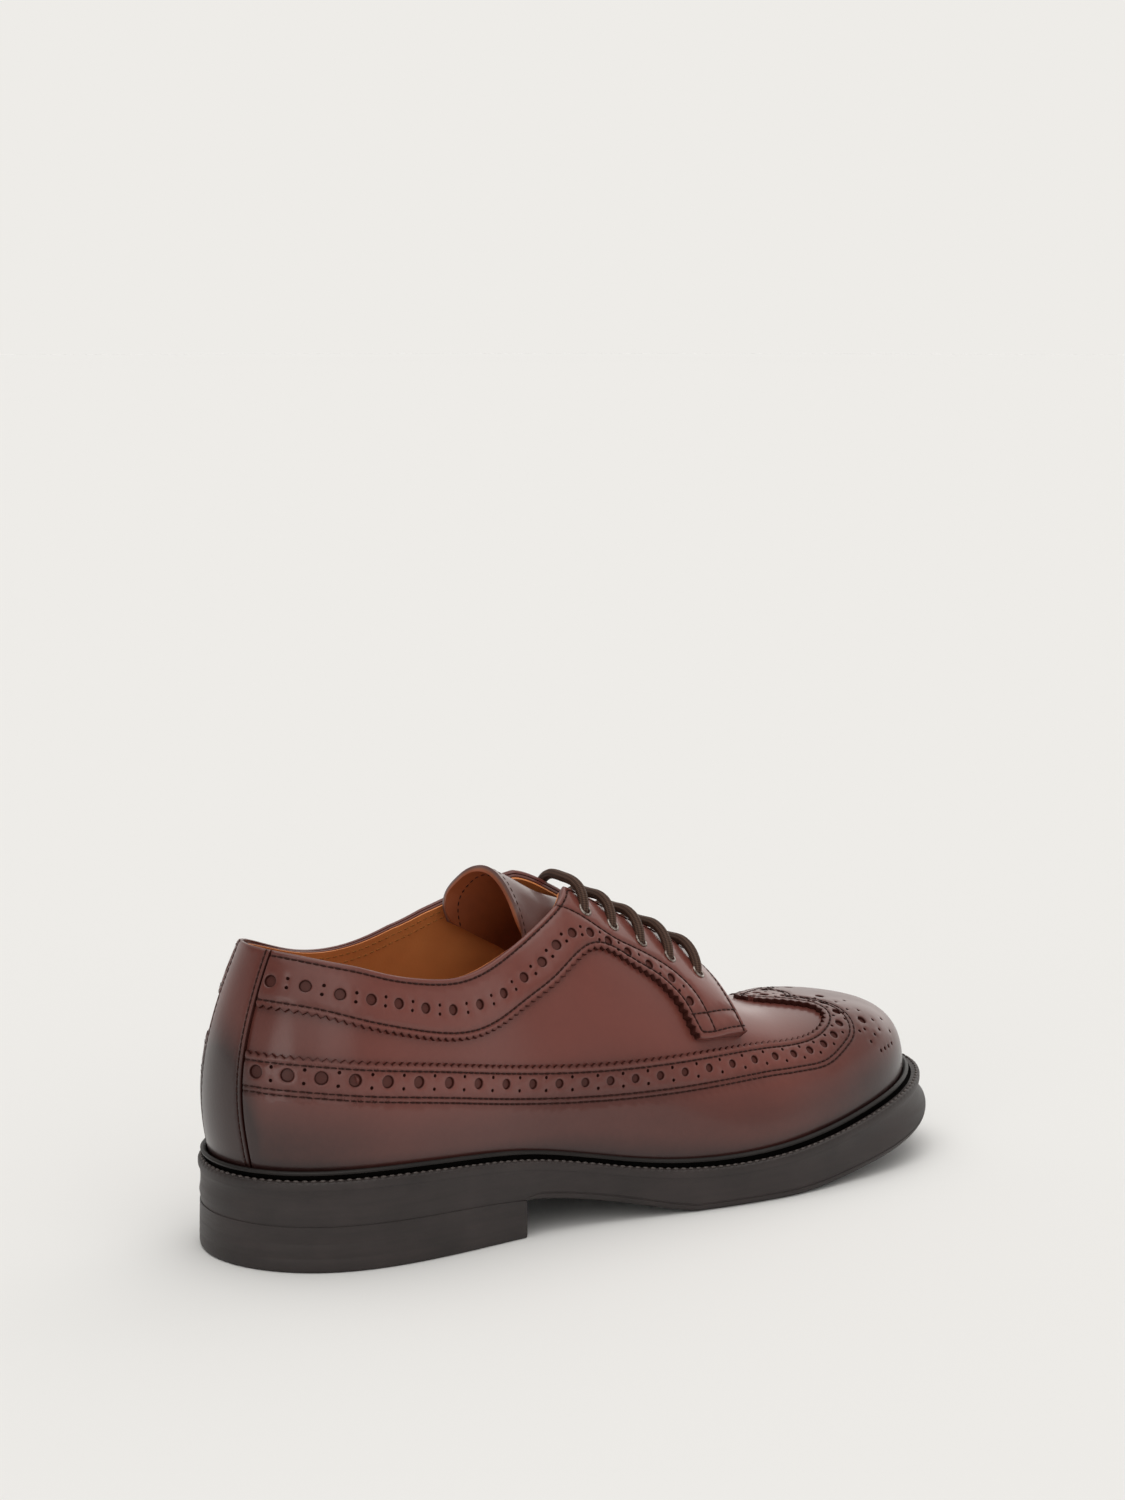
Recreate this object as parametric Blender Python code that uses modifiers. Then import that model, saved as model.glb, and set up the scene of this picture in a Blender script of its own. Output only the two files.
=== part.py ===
"""Right shoe of a longwing derby brogue, lasted upper on a welted rubber sole.

Lengths are millimetres until a mesh is made. A station is the distance from the back of the
heel towards the toe, the outer side of the foot is -Y and the floor is Z = 0.
A rib is a section of the upper: "turn" goes round the feather edge from the heel's back (0)
along the outer side to the toe (0.5) and back (1), "rise" goes up the rib from 0 to 1.
"""

import math

import bmesh
import bpy
import numpy as np
from mathutils import Vector

MM = 0.001
FIT_GAP = 0.3
OVERLAY_GAP = 0.45
FACING_STAND = 0.5

# Leather and sole thicknesses
UPPER_WALL = 2.2
OVERLAY = 1.2
FACING_FRONT = 3.4
TONGUE_WALL = 2.4
WELT_THICK = 3.0
INSOLE_THICK = 4.0

# Feather edge, where the upper turns under: half breadths at each station
HEEL_BACK = 6.0
TOE_TIP = 290.5
TOE_TIP_Y = 2.5
FEATHER = (
    # station, outer, inner
    (14.0, 22.0, 22.0),
    (36.0, 35.0, 33.8),
    (75.0, 36.2, 34.5),
    (114.0, 33.8, 29.0),
    (159.0, 40.2, 32.5),
    (204.0, 45.0, 43.0),
    (243.0, 39.8, 41.6),
    (273.0, 26.6, 27.6),
)

# Flange of the welt, top of the sole and underside of the outsole along the foot
FLANGE = ((0.0, 6.4), (40.0, 6.4), (150.0, 6.8), (240.0, 7.3), (300.0, 8.3))
SEAT = (
    # station, height
    (0.0, 30.6),
    (40.0, 31.0),
    (75.0, 29.4),
    (102.0, 26.6),
    (128.0, 21.6),
    (154.0, 16.8),
    (180.0, 15.0),
    (209.0, 16.4),
    (240.0, 21.0),
    (270.0, 26.6),
    (300.0, 30.0),
)
WAIST = ((0.0, 15.6), (60.0, 15.2), (99.0, 13.2), (129.0, 8.4), (148.0, 4.0), (158.0, 1.6), (166.0, 0.0))
TREAD_START = 166.0
SPRING_START = 205.0
SPRING_HEIGHT = 14.8
SPRING_POWER = 1.6
HEEL_BREAST = 99.0
BREAST_HOLLOW = 3.0
BREAST_POINTS = 5

# Side walls of the sole and section of the welt, from the bottom up
FLARE_HEEL = -0.3
FLARE_TOE = 3.2
FLARE_RUN = (225.0, 290.0)
OUTSOLE_WALL = (
    # share of the flare, out, share of the height, lift
    (1.0, -2.4, 0.0, 0.0),
    (1.0, -0.7, 0.0, 0.8),
    (1.0, 0.0, 0.0, 2.8),
    (0.55, -0.7, 0.5, 0.0),
    (0.0, -1.3, 1.0, -2.2),
    (0.0, -0.9, 1.0, 0.0),
)
HEEL_WALL = (
    # out, share of the height, lift
    (-1.4, 0.0, 0.0),
    (-0.5, 0.0, 0.6),
    (-0.2, 0.0, 2.0),
    (-0.6, 1.0, -FIT_GAP),
)
WELT_FLANGE = (
    # out, below the seat
    (-1.0, 3.0),
    (-0.1, 2.1),
    (0.0, 1.0),
    (-0.9, 0.0),
)
WELT_BEAD = (
    # above the seat, out
    (0.2, 2.3),
    (1.6, 2.0),
    (2.8, 1.5),
    (3.3, 0.8),
    (2.7, 0.1),
    (-2.9, 0.0),
)

# Sections of the upper
RIB_HEEL = 48.0
RIB_TOE = 250.0
RIB_BLEND = 14.0
AXIS = ((0.0, 0.0), (60.0, 0.0), (130.0, 1.0), (200.0, 2.0), (250.0, 2.5), (300.0, 2.5))
SECTIONS = (
    # station, wall_out, wall_up, shoulder_half, shoulder_drop, top_half, inner_extra
    (6.0, 9.8, 30.0, 42.3, 28.0, 29.8, 0.0),
    (48.0, 4.4, 30.0, 34.0, 24.0, 27.0, 0.0),
    (85.0, 2.5, 28.0, 31.0, 17.0, 25.0, 1.5),
    (108.0, 2.0, 34.0, 25.5, 15.0, 13.0, 3.5),
    (128.0, 2.0, 42.0, 24.0, 5.5, 1.5, 1.0),
    (142.0, 2.0, 45.0, 24.0, 3.5, 0.0, 0.0),
    (165.0, 2.5, 41.0, 22.5, 4.0, 0.0, 0.0),
    (190.0, 3.0, 33.0, 21.5, 4.5, 0.0, 0.0),
    (210.0, 3.0, 31.0, 25.0, 0.0, 0.0, 0.0),
    (232.0, 2.4, 28.0, 28.0, 0.0, 0.0, 0.0),
    (260.0, 2.0, 25.0, 29.5, 0.0, 0.0, 0.0),
    (290.5, 2.2, 21.5, 30.0, 0.0, 0.0, 0.0),
)
CROWN = (
    # station, outer height, inner height
    (5.0, 112.0, 112.0),
    (48.0, 104.0, 104.0),
    (85.0, 95.0, 99.0),
    (108.0, 105.0, 111.0),
    (128.0, 116.5, 118.5),
    (142.0, 112.0, 112.5),
    (165.0, 98.6, 98.6),
    (190.0, 81.8, 81.8),
    (204.0, 68.6, 68.6),
    (218.0, 61.2, 61.2),
    (235.0, 59.1, 59.1),
    (250.0, 57.8, 57.8),
    (264.0, 56.2, 56.2),
)
COLLAR = (
    # station, outer height, inner height
    (10.0, 106.4, 106.4),
    (25.0, 102.8, 101.6),
    (38.0, 99.8, 97.4),
    (51.0, 95.7, 94.0),
    (64.0, 92.7, 93.4),
    (78.0, 91.1, 96.1),
    (90.0, 92.1, 101.0),
    (102.0, 94.9, 106.3),
    (112.0, 98.8, 110.9),
    (122.0, 104.3, 115.0),
    (131.0, 109.5, 118.5),
    (150.0, 121.0, 126.0),
)
THROAT_TOP = 110.0
THROAT_END = 198.0
THROAT_HALF = ((110.0, 8.5), (130.0, 7.8), (200.0, 4.6))

# Lines of the overlays on the upper
OVERLAY_FOOT = 0.02
STRIP_EDGE = ((0.0, 0.0262), (0.1, 0.0258), (0.2, 0.0245), (0.34, 0.0228), (0.7, 0.0228), (1.0, 0.018))
WING_EDGE = (
    # station, height
    (0.0, 70.6),
    (20.0, 69.3),
    (51.0, 66.0),
    (75.0, 62.3),
    (101.0, 57.8),
    (134.0, 54.7),
    (167.0, 53.9),
    (191.0, 53.8),
    (212.0, 52.8),
    (227.0, 53.2),
    (235.0, 54.4),
)
WING_BEND = (0.3884, 0.626)
WING_BEND_RUN = 0.012
WING_TOE = (222.0, 240.0)
WING_PEAK = (
    # turn, rise from the bend back to the point on the ridge
    (0.3395, 1.0),
    (0.3415, 0.91),
    (0.3473, 0.855),
    (0.3547, 0.832),
    (0.3676, 0.79),
    (0.3818, 0.732),
    (0.3868, 0.69),
    (0.3884, 0.626),
)
QUARTER_EDGE = (
    # station, height
    (0.0, 88.5),
    (20.0, 85.0),
    (34.0, 81.3),
    (51.0, 76.6),
    (66.0, 72.8),
    (80.0, 71.0),
    (95.0, 72.9),
    (110.0, 78.5),
    (122.0, 84.5),
    (131.0, 90.4),
    (138.5, 92.9),
    (146.0, 91.3),
    (156.0, 85.3),
    (164.0, 79.6),
    (169.0, 74.0),
    (172.0, 67.5),
    (174.0, 60.0),
    (176.0, 57.8),
    (188.0, 56.6),
    (206.0, 54.2),
)
FACING_FRONT_EDGE = ((0.0, 0.3255), (0.45, 0.3240), (0.75, 0.3235), (1.0, 0.3205))
FACING_LIFT = (150.0, 194.0)
FACING_LEAN = 0.27
FACING_HEEL = (166.0, 170.0, 173.0, 175.5)

# Eyelets and lace
EYELETS = 5
EYELET_FIRST = 140.0
EYELET_PITCH = 11.4
EYELET_HALF = 15.0
EYELET_SPREAD = 0.9
EYELET_HOLE = 3.6
PUNCH_DEPTH = 16.0
PUNCH_SIDES = 10
LACE_DIAMETER = 3.2
LACE_ARCH = 0.5
LACE_POINTS = 10
LACE_LIFT = (
    # share of the eyelet's distance from the axis, extra height over the facing
    (1.0, 0.1),
    (0.7, 0.5),
    (0.36, 0.5),
)

TONGUE_RIM = (
    # station, across, height of the tongue's end, from the outer to the inner side
    (114.8, -13.9, 98.3),
    (115.0, -13.6, 102.0),
    (114.2, -12.4, 107.5),
    (113.4, -9.2, 112.9),
    (112.2, -5.2, 118.1),
    (110.0, 1.0, 121.9),
    (106.3, 7.0, 120.8),
    (103.8, 12.0, 116.5),
    (102.0, 15.1, 112.1),
    (101.2, 16.2, 106.5),
    (103.0, 16.1, 100.5),
)
TONGUE = (
    # station, crown height, slope, curve, half breadth
    (121.0, 116.0, 0.36, 0.058, 18.0),
    (130.0, 111.0, 0.36, 0.045, 20.0),
    (142.0, 106.5, 0.35, 0.036, 22.0),
    (150.0, 102.0, 0.30, 0.032, 23.0),
    (165.0, 93.0, 0.25, 0.0245, 24.0),
    (180.0, 84.0, 0.23, 0.0185, 24.0),
    (195.0, 73.8, 0.12, 0.016, 22.0),
    (207.0, 65.2, 0.05, 0.0145, 18.0),
)
TONGUE_TIP = 4.0
TONGUE_FREE = ((112.0, 14.0), (124.0, 8.0), (130.0, 4.7), (186.0, 3.0), (190.0, 0.0), (207.0, 0.0))

# How finely the forms are divided
RIBS_PER_SIDE = 36
RISE_STEPS = 11
RING_POINTS = 64
HEEL_POINTS = 26
OVERLAY_STEPS = 4
STRIP_ROWS = 11
STRIP_COLUMNS = 7
WELD = 0.02
MARK_SPACE = 0.004
STRIP_CLEAR = 0.0012
STRIP_BLEND = 0.12


class Curve:
    """Cubic spline through rows of values; a closed one comes back to its first row smoothly."""

    def __init__(self, knots, values, closed=False):
        self.knots = np.asarray(knots, float)
        values = np.asarray(values, float)
        self.single = values.ndim == 1
        self.values = values[:, None] if self.single else values
        steps = np.diff(self.knots)
        slopes = np.diff(self.values, axis=0) / steps[:, None]
        count = len(self.knots)
        matrix = np.zeros((count, count))
        right = np.zeros_like(self.values)
        for i in range(1, count - 1):
            matrix[i, i - 1 : i + 2] = steps[i], 2 * (steps[i - 1] + steps[i]), steps[i - 1]
            right[i] = 3 * (steps[i] * slopes[i - 1] + steps[i - 1] * slopes[i])
        if closed:
            matrix[0, 0] = 1
            matrix[0, -1] = -1
            matrix[-1, :2] = 2 / steps[0], 1 / steps[0]
            matrix[-1, -2:] = 1 / steps[-1], 2 / steps[-1]
            right[-1] = 3 * (slopes[0] / steps[0] + slopes[-1] / steps[-1])
        else:
            matrix[0, :2] = 2, 1
            right[0] = 3 * slopes[0]
            matrix[-1, -2:] = 1, 2
            right[-1] = 3 * slopes[-1]
        self.tangents = np.linalg.solve(matrix, right)

    def __call__(self, where):
        where = np.clip(np.asarray(where, float), self.knots[0], self.knots[-1])
        i = np.clip(np.searchsorted(self.knots, where, side="right") - 1, 0, len(self.knots) - 2)
        step = (self.knots[i + 1] - self.knots[i])[..., None]
        t = (where - self.knots[i])[..., None] / step
        result = (
            self.values[i] * (1 + 2 * t) * (1 - t) ** 2
            + self.tangents[i] * step * t * (1 - t) ** 2
            + self.values[i + 1] * t * t * (3 - 2 * t)
            + self.tangents[i + 1] * step * t * t * (t - 1)
        )
        return result[..., 0] if self.single else result


def table_curve(rows):
    """Curve through a table whose first column is the place along it."""
    data = np.array(rows, float)
    return Curve(data[:, 0], data[:, 1] if data.shape[1] == 2 else data[:, 1:])


def feather_curve():
    """Closed plan curve of the feather edge, with the same stations on both sides."""
    tip = (TOE_TIP, TOE_TIP_Y)
    outer = np.array([(HEEL_BACK, 0.0)] + [(x, -out) for x, out, _ in FEATHER] + [tip])
    inner = np.array([(HEEL_BACK, 0.0)] + [(x, side) for x, _, side in FEATHER] + [tip])
    chords = [np.sqrt(np.linalg.norm(np.diff(side, axis=0), axis=1)) for side in (outer, inner)]
    knots = np.concatenate([[0.0], np.cumsum(chords[0] + chords[1])])
    knots *= 0.5 / knots[-1]
    return Curve(np.concatenate([knots, 1 - knots[-2::-1]]), np.concatenate([outer, inner[-2::-1]]), True)


feather_line = feather_curve()
flange_width = table_curve(FLANGE)
seat_height = table_curve(SEAT)
waist_height = table_curve(WAIST)
axis_offset = table_curve(AXIS)
section_at = table_curve(SECTIONS)
crown_at = table_curve(CROWN)
collar_at = table_curve(COLLAR)
throat_half = table_curve(THROAT_HALF)
strip_edge = table_curve(STRIP_EDGE)
wing_edge = table_curve(WING_EDGE)
quarter_edge = table_curve(QUARTER_EDGE)
facing_front = table_curve(FACING_FRONT_EDGE)
tongue_at = table_curve(TONGUE)
WING_PEAK_ROWS = np.array(WING_PEAK)


def smooth_step(low, high, value):
    """0 below low, 1 above high and smooth between them."""
    t = np.clip((np.asarray(value, float) - low) / (high - low), 0, 1)
    return t * t * (3 - 2 * t)


def feather(turn):
    """Plan point of the feather edge."""
    return feather_line(np.asarray(turn, float) % 1.0)


def outward(turn, step=1e-4):
    """Plan direction that points out of the feather edge."""
    turn = np.asarray(turn, float)
    along = feather(turn + step) - feather(turn - step)
    across = np.stack([along[..., 1], -along[..., 0]], -1)
    return across / np.linalg.norm(across, axis=-1, keepdims=True)


def rim(turn, out=0.0):
    """Plan point of the sole's rim, or of a line that lies further out."""
    edge = feather(turn)
    return edge + outward(turn) * (flange_width(edge[..., 0]) + out)[..., None]


def underside(station):
    """Height of the outsole's underside: heel seat, arch, flat forepart and toe spring."""
    station = np.asarray(station, float)
    spring = np.clip((station - SPRING_START) / (TOE_TIP - SPRING_START), 0, None) ** SPRING_POWER
    return np.where(station < TREAD_START, waist_height(station), SPRING_HEIGHT * spring)


def rib_centre(station):
    """Station of a rib's centre: it stays put where the ribs fan round the heel and the toe."""

    def bend(over):
        return 0.5 * (over + np.sqrt(over * over + RIB_BLEND * RIB_BLEND))

    return station + bend(RIB_HEEL - station) - bend(station - RIB_TOE)


def upper_face(turn, rise):
    """Point of the upper's outer face."""
    turn, rise = np.broadcast_arrays(np.asarray(turn, float) % 1.0, np.asarray(rise, float))
    foot = feather(turn)
    station = foot[..., 0]
    centre_x = rib_centre(station)
    centre = np.stack([centre_x, axis_offset(centre_x)], -1)
    reach = foot - centre
    half = np.linalg.norm(reach, axis=-1)
    reach = reach / half[..., None]
    wall_out, wall_up, shoulder_half, shoulder_drop, top_half, extra = np.moveaxis(section_at(station), -1, 0)
    inner_side = (turn > 0.5).astype(int)
    spread = np.maximum(extra, 0) * inner_side
    crown_x = np.minimum(station, centre_x)
    crown = np.take_along_axis(crown_at(crown_x), inner_side[..., None], -1)[..., 0]
    ahead = np.take_along_axis(crown_at(crown_x + 0.5), inner_side[..., None], -1)[..., 0]
    behind = np.take_along_axis(crown_at(crown_x - 0.5), inner_side[..., None], -1)[..., 0]
    fall = (ahead - behind) * np.clip(reach[..., 0], 0, 1)
    seat = seat_height(station)
    halves = (half, half + wall_out, shoulder_half + spread, np.maximum(top_half, 0) + spread)
    heights = (seat - WELT_THICK, seat + wall_up, crown - shoulder_drop + fall * shoulder_half, crown)
    weights = ((1 - rise) ** 3, 3 * rise * (1 - rise) ** 2, 3 * rise * rise * (1 - rise), rise**3)
    across = sum(weight * value for weight, value in zip(weights, halves))
    height = sum(weight * value for weight, value in zip(weights, heights))
    plan = centre + reach * across[..., None]
    return np.concatenate([plan, height[..., None]], -1)


def upper_normal(turn, rise, step=1e-3):
    """Outward direction of the upper's face; on the ridge it has no sideways part."""
    turn, rise = np.broadcast_arrays(np.asarray(turn, float), np.asarray(rise, float))
    low = np.clip(rise, step, 1 - 20 * step)
    along = upper_face(turn + step, low) - upper_face(turn - step, low)
    up = upper_face(turn, low + step) - upper_face(turn, low - step)
    normal = np.cross(along, up)
    normal /= np.linalg.norm(normal, axis=-1, keepdims=True)
    station = feather(turn)[..., 0]
    crown_x = np.minimum(station, rib_centre(station))
    slope = (crown_at(crown_x + 0.5) - crown_at(crown_x - 0.5))[..., 0]
    ridge = np.stack([-slope, np.zeros_like(slope), np.ones_like(slope)], -1)
    ridge /= np.linalg.norm(ridge, axis=-1, keepdims=True)
    blend = (smooth_step(0.9, 1.0, rise) * (station > THROAT_END))[..., None]
    normal = normal * (1 - blend) + ridge * blend
    return normal / np.linalg.norm(normal, axis=-1, keepdims=True)


def upper_point(turn, rise, out=0.0):
    """Point at a distance outside the upper's face."""
    return upper_face(turn, rise) + upper_normal(turn, rise) * np.asarray(out, float)[..., None]


def find_rise(turn, over):
    """Rise on each rib at which over(turn, point) turns positive."""
    turn = np.asarray(turn, float)
    low = np.zeros_like(turn)
    high = np.ones_like(turn)
    for _ in range(30):
        middle = 0.5 * (low + high)
        past = over(turn, upper_face(turn, middle)) > 0
        high = np.where(past, middle, high)
        low = np.where(past, low, middle)
    return 0.5 * (low + high)


def rise_at(turn, height_line):
    """Rise at which each rib reaches a line of heights along the foot."""
    return find_rise(turn, lambda _, point: point[..., 2] - height_line(point[..., 0]))


def off_axis(points):
    """Distance of points from the shoe's axis, seen from above."""
    return np.abs(points[..., 1] - axis_offset(points[..., 0]))


def top_rise(turn):
    """Rise of the upper's top edge: collar, throat edge, or the ridge ahead of the throat."""
    turn = np.asarray(turn, float)
    outer_collar = rise_at(turn, lambda station: collar_at(station)[..., 0])
    inner_collar = rise_at(turn, lambda station: collar_at(station)[..., 1])
    collar = np.where(turn > 0.5, inner_collar, outer_collar)
    throat = find_rise(turn, lambda _, p: throat_half(p[..., 0]) - off_axis(p))
    station = feather(turn)[..., 0]
    edge = np.where(station > THROAT_TOP, np.minimum(collar, throat), collar)
    return np.where(station > THROAT_END, 1.0, edge)


def turn_at(station):
    """Turn on the outer side at which the feather edge passes a station."""
    turns = np.linspace(0.0, 0.5, 2001)
    return np.interp(station, feather(turns)[:, 0], turns)


def to_part(points):
    """Metres in the part's own frame, centred over the sole's outline."""
    return (np.asarray(points, float) - FRAME_ORIGIN) * MM


def material(name, colour, roughness):
    """Plain surface colour for one piece."""
    surface = bpy.data.materials.new(name)
    surface.use_nodes = True
    shader = surface.node_tree.nodes["Principled BSDF"]
    shader.inputs["Base Color"].default_value = (*colour, 1.0)
    shader.inputs["Roughness"].default_value = roughness
    shader.inputs["Metallic"].default_value = 0.0
    return surface


def add_mesh(name, bm, surface):
    """Turn a bmesh into an object of the shoe."""
    mesh = bpy.data.meshes.new(name)
    bm.to_mesh(mesh)
    bm.free()
    mesh.shade_smooth()
    mesh.set_sharp_from_angle(angle=math.radians(40))
    mesh.materials.append(surface)
    piece = bpy.data.objects.new(name, mesh)
    shoe.objects.link(piece)
    return piece


def add_grid(bm, grid, closed=False):
    """Add a sheet of quads over a grid of points, columns first."""
    columns, rows = grid.shape[:2]
    verts = [[bm.verts.new(point) for point in column] for column in to_part(grid)]
    for i in range(columns if closed else columns - 1):
        a, b = verts[i], verts[(i + 1) % columns]
        for j in range(rows - 1):
            bm.faces.new((a[j], b[j], b[j + 1], a[j + 1]))
    return verts


def sheet(name, grids, thickness, offset, surface, closed=False, shares=None):
    """Leather of even thickness on one side of welded grids; shares thin it vertex by vertex."""
    bm = bmesh.new()
    for grid in grids:
        add_grid(bm, grid, closed)
    bmesh.ops.remove_doubles(bm, verts=bm.verts, dist=WELD * MM)
    piece = add_mesh(name, bm, surface)
    wall = piece.modifiers.new("wall", "SOLIDIFY")
    wall.thickness = thickness * MM
    wall.offset = offset
    wall.use_even_offset = True
    wall.use_quality_normals = True
    if shares is not None:
        group = piece.vertex_groups.new(name="thickness")
        for vert in piece.data.vertices:
            group.add([vert.index], float(shares(vert.co.x / MM + FRAME_ORIGIN[0])), "REPLACE")
        wall.vertex_group = group.name
    return piece


def solid_rings(name, rings, surface):
    """Solid between rings of points, bottom to top, its ends closed rung by rung like a ladder."""
    bm = bmesh.new()
    loops = [[bm.verts.new(point) for point in to_part(ring)] for ring in rings]
    count = len(loops[0])
    for low, high in zip(loops, loops[1:]):
        for i in range(count):
            k = (i + 1) % count
            bm.faces.new((low[i], low[k], high[k], high[i]))
    for loop, upward in ((loops[0], False), (loops[-1], True)):
        for i in range((count - 1) // 2 + 1):
            corners = [loop[i], loop[i + 1], loop[(count - 1 - i) % count], loop[(-i) % count]]
            corners = list(dict.fromkeys(corners))
            if len(corners) > 2:
                bm.faces.new(corners if upward else corners[::-1])
    bmesh.ops.recalc_face_normals(bm, faces=bm.faces)
    return add_mesh(name, bm, surface)


def lift(plan, height):
    """Plan points with heights."""
    return np.concatenate([plan, np.asarray(height, float)[..., None]], -1)


def sole_flare(station):
    """How far the foot of the sole's wall stands out from the rim; most at the toe."""
    return FLARE_HEEL + (FLARE_TOE - FLARE_HEEL) * smooth_step(*FLARE_RUN, station)


def ring_turns():
    """Even turns round the sole."""
    return np.arange(RING_POINTS) / RING_POINTS


def make_outsole(surface):
    """Rubber outsole: hollowed wall, flared foot with a rounded edge, arch and toe spring."""
    turns = ring_turns()
    station = rim(turns)[:, 0]
    flare = sole_flare(station)
    top = seat_height(station) - WELT_THICK - FIT_GAP
    low = underside(station)
    rings = [
        lift(rim(turns, spread * flare + out), low + share * (top - low) + rest)
        for spread, out, share, rest in OUTSOLE_WALL
    ]
    return solid_rings("outsole", rings, surface)


def make_heel(surface):
    """Stacked heel under the outsole, with a slightly hollow breast."""
    edge = float(turn_at(HEEL_BREAST))
    turns = np.linspace(-edge, edge, HEEL_POINTS)
    rings = []
    for out, share, rest in HEEL_WALL:
        plan = rim(turns, out)
        plan[:, 0] = np.minimum(plan[:, 0], HEEL_BREAST)
        breast_y = np.linspace(plan[-1, 1], plan[0, 1], BREAST_POINTS + 2)[1:-1]
        hollow = 1 - (breast_y / plan[0, 1]) ** 2
        breast = np.stack([HEEL_BREAST - BREAST_HOLLOW * hollow, breast_y], -1)
        plan = np.concatenate([plan, breast])
        rings.append(lift(plan, share * underside(plan[:, 0]) + rest))
    return heel_solid("heel", rings, surface)


def heel_solid(name, rings, surface):
    """Solid between the heel's rings, its ends filled as flat outlines."""
    bm = bmesh.new()
    loops = [[bm.verts.new(point) for point in to_part(ring)] for ring in rings]
    count = len(loops[0])
    for low, high in zip(loops, loops[1:]):
        for i in range(count):
            k = (i + 1) % count
            bm.faces.new((low[i], low[k], high[k], high[i]))
    ends = [bm.faces.new(loops[0][::-1]), bm.faces.new(loops[-1])]
    bmesh.ops.triangulate(bm, faces=ends)
    bmesh.ops.recalc_face_normals(bm, faces=bm.faces)
    return add_mesh(name, bm, surface)


def make_welt(surface):
    """Storm welt: a bead that stands against the upper, a groove, and a flange out to the rim."""
    turns = ring_turns()
    seat = seat_height(feather(turns)[:, 0])
    clear = OVERLAY_GAP + OVERLAY + 2 * FIT_GAP

    def bead(above, out):
        rise = find_rise(turns, lambda _, p: p[..., 2] - (seat + above))
        spot = upper_face(turns, rise)
        return lift(spot[:, :2] + outward(turns) * (clear + out), seat + above)

    def flange(out, below):
        plan = rim(turns, out)
        return lift(plan, seat_height(plan[:, 0]) - below)

    loop = [flange(*row) for row in WELT_FLANGE] + [bead(*row) for row in WELT_BEAD]
    bm = bmesh.new()
    rings = [[bm.verts.new(point) for point in to_part(ring)] for ring in loop]
    for k, low in enumerate(rings):
        high = rings[(k + 1) % len(rings)]
        for i in range(RING_POINTS):
            j = (i + 1) % RING_POINTS
            bm.faces.new((low[i], low[j], high[j], high[i]))
    bmesh.ops.recalc_face_normals(bm, faces=bm.faces)
    return add_mesh("welt", bm, surface)


def make_insole(surface):
    """Insole board inside the upper's wall."""
    turns = ring_turns()
    inset = UPPER_WALL + 2 * FIT_GAP
    plan = feather(turns) - outward(turns) * inset
    seat = seat_height(plan[:, 0])
    low = seat - WELT_THICK
    return solid_rings("insole", [lift(plan, low), lift(plan, low + INSOLE_THICK)], surface)


def side_ribs():
    """Turns of the upper's ribs on the outer side, from heel to toe."""
    return np.linspace(0.0, 0.5, RIBS_PER_SIDE + 1)


def loop_turns():
    """Turns of the upper's ribs, the same on both sides."""
    side = side_ribs()
    return np.concatenate([side, 1 - side[-2:0:-1]])


def overlay_turns(marks):
    """The upper's ribs between the first and the last mark, and the marks themselves."""
    marks = np.asarray(marks, float)
    ribs = side_ribs()
    inside = (ribs > marks[0]) & (ribs < marks[-1])
    apart = np.abs(ribs[:, None] - marks[None, :]).min(axis=1) > MARK_SPACE
    return np.sort(np.concatenate([ribs[inside & apart], marks]))


def make_upper(surface):
    """Lasted upper: one hollow wall, open at collar, throat and underneath."""
    turns = loop_turns()
    rises = np.linspace(0.0, 1.0, RISE_STEPS + 1)[None, :] * top_rise(turns)[:, None]
    grid = upper_face(turns[:, None], rises)
    return sheet("upper", [grid], UPPER_WALL, -1.0, surface, closed=True)


def strip_side(rises):
    """Turn just outside the heel strip."""
    return strip_edge(rises) + STRIP_CLEAR


def wing_gap(turns):
    """Gap between wing and upper, a little wider over the sharp curve of the toe."""
    return OVERLAY_GAP + FIT_GAP * smooth_step(*WING_TOE, feather(turns)[..., 0])


def make_wing(surface):
    """Long wing: from the heel strip along both sides, over the toe, with a point on the vamp."""
    bend_turn, bend_rise = WING_BEND
    side = overlay_turns([0.0, bend_turn, 0.5])
    turns = np.concatenate([side, 1 - side[-2::-1]])
    folded = np.minimum(turns, 1 - turns)
    run = smooth_step(bend_turn - WING_BEND_RUN, bend_turn, folded)
    top = rise_at(turns, wing_edge) * (1 - run) + bend_rise * run
    rows = np.linspace(0.0, 1.0, OVERLAY_STEPS + 2)
    rises = OVERLAY_FOOT + rows[None, :] * (top - OVERLAY_FOOT)[:, None]
    away = smooth_step(0.0, STRIP_BLEND, folded)[:, None]
    offset = strip_side(rises) * np.sign(0.5 - turns)[:, None]
    ribs = turns[:, None] + offset * (1 - away)
    grids = [upper_point(ribs, rises, wing_gap(ribs))]
    for mirror in (False, True):
        side = overlay_turns([WING_PEAK_ROWS[0, 0], bend_turn, 0.5])
        start = np.interp(side, WING_PEAK_ROWS[:, 0], WING_PEAK_ROWS[:, 1])
        rises = start[:, None] + np.linspace(0.0, 1.0, OVERLAY_STEPS)[None, :] * (1 - start)[:, None]
        ribs = np.broadcast_to((1 - side if mirror else side)[:, None], rises.shape)
        grid = upper_point(ribs, rises, wing_gap(ribs))
        grids.append(grid[::-1] if mirror else grid)
    return sheet("wing_cap", grids, OVERLAY, 1.0, surface)


def facing_gap(station):
    """Gap between quarter overlay and upper at a station."""
    return OVERLAY_GAP + FACING_STAND * smooth_step(*FACING_LIFT, station)


def facing_thickness(station):
    """Thickness of the quarter overlay at a station."""
    return OVERLAY + (FACING_FRONT - OVERLAY) * smooth_step(*FACING_LIFT, station)


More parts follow.
